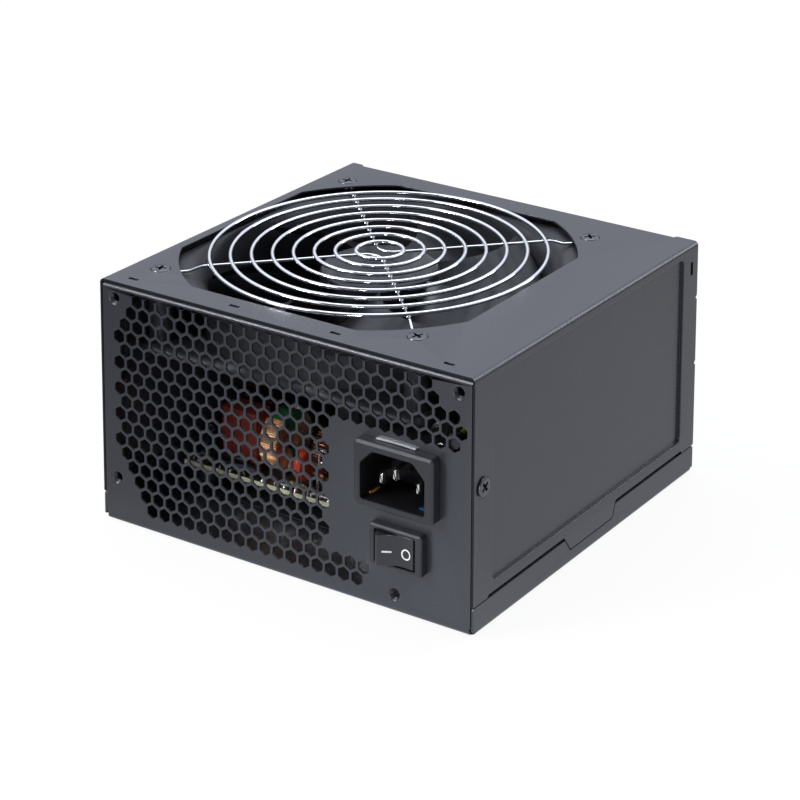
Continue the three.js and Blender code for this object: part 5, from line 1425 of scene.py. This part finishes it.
g = Geo()
plate(g, lambda u, v, w: (u, 47.2 + w, v), rrect(-20, 14, SIT, 34, 0.4, 2), [], t=1.6)
to = lambda u, v, w: (u, 47.15 - w, v)
chip(g, to, -15, -5, 20, 24, 1.6, 8, 1, 2)
chip(g, to, 1, 9, 22, 26, 1.6, 7, 1, 2)
for i in range(9):
    x, z = -17 + i * 3.6, 14.5 + 1.5 * (i % 2)
    soft_prism(g, to, rrect(x - 0.9, x + 0.9, z - 0.5, z + 0.5, 0.08, 1), 0.0, 0.6, 0.06, 1, 1 + (i % 2))
make("supervisor_card", g, [GREEN, EPOXY, TIN], repl="supervisor_board", slot="board_green", angle=30)
g = Geo()
plate(g, lambda u, v, w: (u, 57.6 + w, v), rrect(-66, 46, SIT, 56.6, 0.6, 2), [], t=1.6)
to = lambda u, v, w: (u, 57.55 - w, v)
for i in range(22):
    x = -62 + i * 4.9
    soft_prism(g, to, rrect(x - 1.2, x + 1.2, 50.5, 53.3, 0.1, 1), 0.0, 1.8, 0.1, 1, 1 if i % 3 else 2)
for _, x, z, w, cols in SOCKETS:
    for c in range(cols):
        for r in (-1, 1):
            px = x + (c - (cols - 1) / 2) * 4.2
            lathe(g, [(0, -1.3), (0.4, -1.25), (0.55, -0.9), (0.85, -0.35), (1.25, 0.0), (0, 0.02)], 10, (px, 57.6, z + r * 2.1), "y", 2)
make("modular_card", g, [GREEN, EPOXY, TIN], repl="modular_board", slot="board_green", angle=30)


# ------------------------------------------------------------------ output sockets
PIN = metal_mat("socket_pins", (0.80, 0.66, 0.36), 0.22)


def socket(x, z, w, cols):
    g = Geo()
    to = lambda u, v, d: (u, 70.5 - d, v)
    h = 10.6
    out = rrect(x - w / 2, x + w / 2, z - h / 2, z + h / 2, 0.5, 3)
    cells = []
    for c in range(cols):
        for r in (0, 1):
            cx, cz, k = x + (c - (cols - 1) / 2) * 4.2, z + (r - 0.5) * 4.25 - 0.25, 1.78
            if (c + r) % 3 == 0:
                cell = rounded(rect(cx - k, cx + k, cz - k, cz + k), 0.25, 2)
            elif r == 0:
                cell = rounded([(cx - k + 1.1, cz - k), (cx + k - 1.1, cz - k), (cx + k, cz - k + 1.1), (cx + k, cz + k), (cx - k, cz + k), (cx - k, cz - k + 1.1)], 0.2, 2)
            else:
                cell = rounded([(cx - k, cz - k), (cx + k, cz - k), (cx + k, cz + k - 1.1), (cx + k - 1.1, cz + k), (cx - k + 1.1, cz + k), (cx - k, cz + k - 1.1)], 0.2, 2)
            cells.append(ccw(cell))
    face = offset(out, -0.3)
    lips = [offset(c, 0.14) for c in cells]
    g.add([to(u, v, 0.0) for u, v in face + [p for l in lips for p in l]], cdt_fill(face, lips))
    stack(g, to, [(face, 0.0), (offset(out, -0.08), 0.08), (out, 0.35), (out, 10.9), (offset(out, -0.15), 11.15)], caps=(False, True))
    for c, l in zip(cells, lips):
        # the cell walls take the darker painted-shade plastic
        stack(g, to, [(l, 0.0), (c, 0.16), (c, 9.3)], caps=(False, True), mat=1)
    # latch ledge on the top edge
    soft_prism(g, to, rounded([(x - 2.2, z + h / 2 - 0.15), (x + 2.2, z + h / 2 - 0.15), (x + 2.0, z + h / 2 + 0.27), (x - 2.0, z + h / 2 + 0.27)], 0.1, 1), 0.05, 0.42, 0.05, 1)
    p = Geo()
    for c in cells:
        cx, cz = sum(q[0] for q in c) / len(c), sum(q[1] for q in c) / len(c)
        cx, cz = round((cx - x) / 2.1) * 2.1 + x, z - 0.25 + (2.125 if cz > z - 0.25 else -2.125)
        sq = rrect(cx - 0.55, cx + 0.55, cz - 0.55, cz + 0.55, 0.12, 1)
        stack(p, to, [(offset(sq, -0.4), 2.6), (offset(sq, -0.12), 3.1), (sq, 3.8), (sq, 9.6)])
    return g, p


for name, x, z, w, cols in SOCKETS:
    body, pins = socket(x, z, w, cols)
    make(name.replace("output_socket", "socket_shell"), body, [BLACK, CAVITY_SHADE_PLASTIC], repl=name, slot="black_plastic", angle=30)
    make(name.replace("output_socket", "socket_pins"), pins, PIN, slot="contact_metal", angle=30)


# ------------------------------------------------------------------ wires
def cable(g, pts, r, mat=0, n=12, steps=10):
    sweep(g, smooth_path(pts, steps), r, n, mat=mat)


def faston(g, x, z, mat=1, sleeve=0):
    """Crimped push-on terminal with its insulating sleeve, behind a contact blade."""
    soft_prism(g, lambda u, v, w: (u, -52.4 + w, v), rrect(x - 1.55, x + 1.55, z - 2.9, z + 2.9, 0.9, 4), 0, 5.2, 0.2, 2, sleeve)


for nm, repl, mat, sl, pts in (("live", "live_wire", BROWNW, "live_insulation", [(39.2, -49.0, 43.9), (39.1, -47.0, 43.6), (38.2, -44.5, 41), (34, -40, 26), (33, -31, 9.3)]),
                               ("neutral", "neutral_wire", BLUEW, "neutral_insulation", [(53.2, -49.0, 43.9), (53.3, -47.0, 43.6), (54.5, -44.5, 40), (58, -39, 24), (59, -31, 9.3)])):
    g = Geo()
    cable(g, pts, 1.25, 0)
    faston(g, pts[0][0], 43.9, 1, 1)
    make(f"{nm}_wire_with_terminal", g, [mat, BLUEW if nm == "neutral" else REDW], repl=repl, slot=sl, angle=35)
g = Geo()
epts = [(46.2, -49.0, 47.9), (46.3, -47.5, 48.3), (48.5, -44.8, 51.5), (58, -48, 60), (64.6, -57.5, 63.2), (66.3, -64.2, 63)]
cable(g, epts, 1.25, 0)
faston(g, 46.2, 47.9, 1, 1)
lathe(g, [(1.35, 0), (1.6, 0), (1.65, 3.4), (1.35, 3.6)], 16, (66.4, -68.0, 63), "y", 1, closed=True)
lug = circ(66.4, 63, 2.6, 32)
stack(g, lambda u, v, w: (u, -69.05 + w, v), [(lug, 0.0), (lug, 0.8)], mat=1)
sweep(g, smooth_path([(58.2, -66.5, 58.6), (59.6, -66.6, 59.6), (61.3, -66.7, 59.9), (63.0, -66.8, 59.2)], 6), 0.32, 8, mat=2)
sweep(g, smooth_path([(54.6, -63.5, 62.2), (56.2, -64.0, 63.6), (57.6, -64.5, 63.8)], 6), 0.35, 8, mat=2)
make("earth_wire_with_lug", g, [EARTHW, BLACKW, TIN], repl="earth_wire", slot="earth_insulation", angle=35)
g = Geo()
for d, mi in ((-0.62, 0), (0.62, 1)):
    cable(g, [(45 + d, 50.5, 58.1), (46 + d, 50.5, 50), (44.5 + d, 47, 30), (42 + d, 44, 12.0)], 0.58, mi, 10)
soft_prism(g, zto(SIT), rrect(38.5, 45.5, 42.2, 46.2, 0.4, 2), 0, 5.4, 0.3, 2, 2)
make("fan_lead_pair", g, [BLACKW, REDW, NYLON], repl="fan_lead", slot="black_insulation", angle=35)


# ------------------------------------------------------------------ small board parts
def resistor(g, x, y, z, ang, L=6.2, r=1.0):
    c, s = math.cos(ang), math.sin(ang)
    h = Geo()
    lathe(h, [(0, -L / 2), (r * 0.7, -L / 2), (r, -L / 2 + 0.5), (r, -L / 2 + 1.4), (r * 0.86, -L / 2 + 1.7), (r * 0.86, L / 2 - 1.7), (r, L / 2 - 1.4), (r, L / 2 - 0.5), (r * 0.7, L / 2), (0, L / 2)],
          14, (0, 0, r + 0.4), "x", 0)
    sweep(h, [(-L / 2 - 1.6, 0, -0.2), (-L / 2 - 1.6, 0, r), (-L / 2 - 1.2, 0, r + 0.4), (L / 2 + 1.2, 0, r + 0.4), (L / 2 + 1.6, 0, r), (L / 2 + 1.6, 0, -0.2)], 0.32, 6, mat=1)
    g.join(h, Matrix.Translation((x, y, z)) @ Matrix.Rotation(ang, 4, "Z"))


def disc_cap(g, x, y, z, ang, r=4.0, t=2.2, mat=0):
    h = Geo()
    lathe(h, [(0, -t / 2), (r * 0.75, -t / 2), (r * 0.93, -t * 0.36), (r, -t * 0.1), (r, t * 0.1), (r * 0.93, t * 0.36), (r * 0.75, t / 2), (0, t / 2)], 32, (0, 0, r + 1.6), "y", mat)
    for s in (-1, 1):
        sweep(h, [(s * 2.6, 0, -0.2), (s * 2.6, 0, 1.6), (s * 2.2, 0, 3.0)], 0.35, 6, mat=2)
    g.join(h, Matrix.Translation((x, y, z)) @ Matrix.Rotation(ang, 4, "Z"))


g = Geo()
for x, y, a in ((-22, -32.6, 0.0), (-6, -28.5, 1.57), (-10, -27.5, 1.5), (30, -27, 0.1), (-30, -4, 0.2), (-34, 2, 1.6), (-38, 8, 1.6), (26, 50, 0.0), (30, 40, 1.6), (-12, -13.5, 0.0), (18, -13.5, 0)):
    resistor(g, x, y, SIT, a)
make("board_resistors", g, [RESIST, TIN], angle=35)
g = Geo()
disc_cap(g, -64, -17.5, SIT, 1.2, 3.6, 2.4, 1)
disc_cap(g, 26, -22, SIT, 1.1, 4.0, 2.4, 0)
disc_cap(g, -34, 14, SIT, 0.2, 3.2, 2.0, 0)
make("board_disc_capacitors", g, [ORANGE, BLUEC, TIN], angle=35)
g = Geo()
disc_cap(g, -22.0, -28.2, SIT + 0.1, math.pi / 2, 5.6, 4.2, 0)
make("board_varistor", g, [VARISTOR, ORANGE, TIN], angle=35)
g = Geo()
for x, y, r, h in ((-66, -25, 3.2, 9), (-63.5, 22, 4, 12), (-55, 52, 4, 14), (34, 4, 3.2, 9), (35, 52, 4, 12), (27, 56, 3.2, 9), (-26.8, 54, 3.2, 10), (62, -4, 3.2, 9)):
    can(g, x, y, r, h, n=28, vent=r > 3.5)
make("board_small_electrolytics", g, [SLEEVE, ALU], angle=35)
g = Geo()
for x, y, a, L in ((-48, -34.2, 0.0, 9), (-27, -34.0, 0.05, 7), (-11, -34.1, 0.0, 8), (1.5, -34.0, 0.0, 7), (14, -34.1, 0.1, 8), (-2, -31, 1.57, 6), (-66, -30, 1.57, 8), (-42, -20, 1.57, 7), (-44, -12, 0.3, 10)):
    h = Geo()
    sweep(h, [(-L / 2, 0, -0.2), (-L / 2, 0, 0.7), (-L / 2 + 0.4, 0, 1.1), (L / 2 - 0.4, 0, 1.1), (L / 2, 0, 0.7), (L / 2, 0, -0.2)], 0.36, 6)
    g.join(h, Matrix.Translation((x, y, SIT)) @ Matrix.Rotation(a, 4, "Z"))
sweep(g, smooth_path([(-12.3, -34.1, SIT - 0.1), (-12.3, -34.1, 15.0), (-12.9, -34.0, 17.6), (-12.7, -33.8, 19.6), (-11.6, -33.4, 21.3), (-10.2, -33.0, 21.8)], 6), 0.42, 8)
leads(g, [(-50, -33.5), (-41, -33.5)] + [(-64 + i * 4.7, -33.8) for i in range(19) if i % 3 != 1], 0.42, SIT + 1.0)
make("board_jumpers_and_joints", g, TIN, angle=35)
g = Geo()
cable(g, [(-12.9, -33.1, SIT - 0.3), (-12.9, -33.1, 15.6), (-12.5, -33.0, 20.0), (-12.3, -32.8, 24.2), (-11.3, -32.2, 25.6), (-10.1, -31.4, 24.2), (-9.6, -31.0, 20.0), (-9.5, -31.0, SIT - 0.3)], 0.36, 0, 10, 5)
make("board_wire_loop", g, TIN, angle=40)
g = Geo()
cable(g, [(-62, -30, 10.4), (-56, -32.6, 11.0), (-48, -33.0, 11.2), (-42, -32.9, 11.4), (-37.5, -33.6, 10.9)], 1.35, 0, 10, 5)
cable(g, [(-61, -31, 12.6), (-55, -32.4, 13.5), (-48, -32.8, 13.8), (-43.4, -32.6, 13.4)], 1.1, 0, 10, 5)
make("board_sleeved_leads", g, BLACKW, angle=40)


# ------------------------------------------------------------------ CAD nodes that keep their own shape
for n, o in frame["nodes"].items():
    if not o.hide_render:
        slot_name = next((s["material_slot"] for s in frame["record"]["subparts"] if s["node"] == n), "")
        print("kept CAD node", n, slot_name)


# ------------------------------------------------------------------ stage
def stage():
    me = bpy.data.meshes.new("floor")
    me.from_pydata([(-6, -6, -0.0006), (6, -6, -0.0006), (6, 6, -0.0006), (-6, 6, -0.0006)], [], [(0, 1, 2, 3)])
    ob = bpy.data.objects.new("floor", me)
    bpy.context.scene.collection.objects.link(ob)
    m, nt, bs = new_mat("floor_white")
    bs.inputs["Base Color"].default_value = (0.93, 0.93, 0.93, 1)
    bs.inputs["Roughness"].default_value = 0.85
    bs.inputs["Specular IOR Level"].default_value = 0.1
    # pale seamless floor: bright to the eye with a faint shadow, dimmer as a reflector
    path = nt.nodes.new("ShaderNodeLightPath")
    pos = nt.nodes.new("ShaderNodeNewGeometry").outputs["Position"]
    sep = nt.nodes.new("ShaderNodeSeparateXYZ")
    nt.links.new(pos, sep.inputs[0])

    def span(src, lo, hi, v0, v1):
        mr = node(nt, "ShaderNodeMapRange")
        nt.links.new(src, mr.inputs["Value"])
        for k, v in (("From Min", lo), ("From Max", hi), ("To Min", v0), ("To Max", v1)):
            mr.inputs[k].default_value = v
        return mr.outputs[0]
    near = span(sep.outputs["X"], -0.22, 0.05, 0.20, 0.98)
    beside = span(sep.outputs["Y"], -0.09, -0.02, 0.0, 1.0)
    mixv = nt.nodes.new("ShaderNodeMix")
    nt.links.new(beside, mixv.inputs[0])
    nt.links.new(near, mixv.inputs[2])
    mixv.inputs[3].default_value = 0.76
    glow = nt.nodes.new("ShaderNodeEmission")
    glow.inputs["Color"].default_value = (0.95, 0.97, 1.0, 1)
    far = nt.nodes.new("ShaderNodeVectorMath")
    far.operation = "LENGTH"
    nt.links.new(pos, far.inputs[0])
    fade = nt.nodes.new("ShaderNodeMath")
    fade.operation = "MULTIPLY"
    nt.links.new(mixv.outputs[0], fade.inputs[0])
    nt.links.new(span(far.outputs["Value"], 0.30, 0.75, 1.0, 0.22), fade.inputs[1])
    nt.links.new(fade.outputs[0], glow.inputs["Strength"])
    white = nt.nodes.new("ShaderNodeEmission")
    seen = nt.nodes.new("ShaderNodeMixShader")
    seen.inputs[0].default_value = 0.08
    nt.links.new(white.outputs[0], seen.inputs[1])
    nt.links.new(bs.outputs[0], seen.inputs[2])
    both = nt.nodes.new("ShaderNodeMixShader")
    nt.links.new(path.outputs["Is Camera Ray"], both.inputs[0])
    nt.links.new(glow.outputs[0], both.inputs[1])
    nt.links.new(seen.outputs[0], both.inputs[2])
    out = next(n for n in nt.nodes if n.type == "OUTPUT_MATERIAL")
    nt.links.new(both.outputs[0], out.inputs[0])
    me.materials.append(m)

    def area(name, loc, aim, size, power, sy=None, color=(1, 1, 1)):
        L = bpy.data.lights.new(name, "AREA")
        L.shape = "RECTANGLE"
        L.size, L.size_y = size, sy or size
        L.energy = power
        L.color = color
        o = bpy.data.objects.new(name, L)
        o.location = loc
        o.rotation_euler = (Vector(aim) - Vector(loc)).to_track_quat("-Z", "Y").to_euler()
        bpy.context.scene.collection.objects.link(o)
        return o
    area("key_top", (-0.2, 0.5, 1.5), (0, 0, 0.05), 1.0, 5)
    area("strip_rear", (-0.75, -0.62, 1.08), (0, -0.07, 0.08), 1.3, 9, sy=0.22)
    area("strip_side", (0.62, 1.05, 0.80), (0.07, 0, 0.08), 0.22, 5, sy=1.3)
    area("rear_glint", (-0.56, -0.82, 0.52), (0, -0.05, 0.05), 0.24, 5)
    area("lens_fill", (0.34, -0.95, 0.14), (-0.03, -0.05, 0.03), 0.14, 2.0)
    w = bpy.data.worlds.new("studio")
    bpy.context.scene.world = w
    w.use_nodes = True
    wt = w.node_tree
    bg = wt.nodes["Background"]
    way = wt.nodes.new("ShaderNodeTexCoord").outputs["Generated"]
    sep = wt.nodes.new("ShaderNodeSeparateXYZ")
    wt.links.new(way, sep.inputs[0])
    sky = ramp(wt, node(wt, "ShaderNodeMapRange").outputs[0], [(0.0, (0.30, 0.31, 0.33)), (0.46, (0.20, 0.205, 0.22)), (0.55, (0.20, 0.205, 0.22)), (0.64, (0.90, 0.94, 1.02)), (0.8, (1.02, 1.07, 1.2)), (1.0, (1.05, 1.11, 1.26))])
    zr = next(n for n in wt.nodes if n.type == "MAP_RANGE")
    zr.inputs["From Min"].default_value, zr.inputs["From Max"].default_value = -1.0, 1.0
    wt.links.new(sep.outputs["Z"], zr.inputs["Value"])
    dot = wt.nodes.new("ShaderNodeVectorMath")
    dot.operation = "DOT_PRODUCT"
    wt.links.new(way, dot.inputs[0])
    dot.inputs[1].default_value = (0.30, -0.95, 0.0)
    dim = wt.nodes.new("ShaderNodeMapRange")
    wt.links.new(dot.outputs["Value"], dim.inputs["Value"])
    for k, v in (("From Min", -0.02), ("From Max", 0.42), ("To Min", 1.0), ("To Max", 0.14)):
        dim.inputs[k].default_value = v
    tone = wt.nodes.new("ShaderNodeVectorMath")
    tone.operation = "SCALE"
    wt.links.new(sky, tone.inputs[0])
    wt.links.new(dim.outputs[0], tone.inputs["Scale"])
    path = wt.nodes.new("ShaderNodeLightPath")
    col = mix_rgb(wt, path.outputs["Is Camera Ray"], tone.outputs[0], (1, 1, 1))
    wt.links.new(col, bg.inputs[0])
    bg.inputs[1].default_value = 1.0
    vs = bpy.context.scene.view_settings
    vs.view_transform = "Standard"
    vs.look = "None"


stage()

cam_d = bpy.data.cameras.new("camera")
cam = bpy.data.objects.new("camera", cam_d)
bpy.context.scene.collection.objects.link(cam)
az, el, roll = map(math.radians, (30.38, 11.53, 1.18))
back = Vector((math.sin(az) * math.cos(el), -math.cos(az) * math.cos(el), math.sin(el)))
right = (-back).cross(Vector((0, 0, 1))).normalized()
up = right.cross(-back).normalized()
r2 = right * math.cos(roll) + up * math.sin(roll)
u2 = -right * math.sin(roll) + up * math.cos(roll)
C = Vector((0.491381, -0.698022, 0.416977))
M = Matrix((r2, u2, back)).transposed().to_4x4()
M.translation = C
cam.matrix_world = M
cam_d.lens = 118.72
cam_d.sensor_width = 36
cam_d.clip_start, cam_d.clip_end = 0.01, 20
SHIFT = (-0.2796, -0.7363)
station = bpy.data.objects.new("photo_station", None)
station.location = C
bpy.context.scene.collection.objects.link(station)
for axis, val in (("shift_x", SHIFT[0]), ("shift_y", SHIFT[1])):
    fc = cam_d.driver_add(axis)
    for mod in list(fc.modifiers):
        fc.modifiers.remove(mod)
    fc.driver.type = "SUM"
    v = fc.driver.variables.new()
    v.name, v.type = "away", "LOC_DIFF"
    v.targets[0].id, v.targets[1].id = cam, station
    for away, shift in ((0.03, val), (0.1, 0.0)):
        fc.keyframe_points.insert(away, shift).interpolation = "LINEAR"
    fc.extrapolation = "CONSTANT"
    fc.update()
bpy.context.scene.camera = cam

bpy.context.view_layer.update()
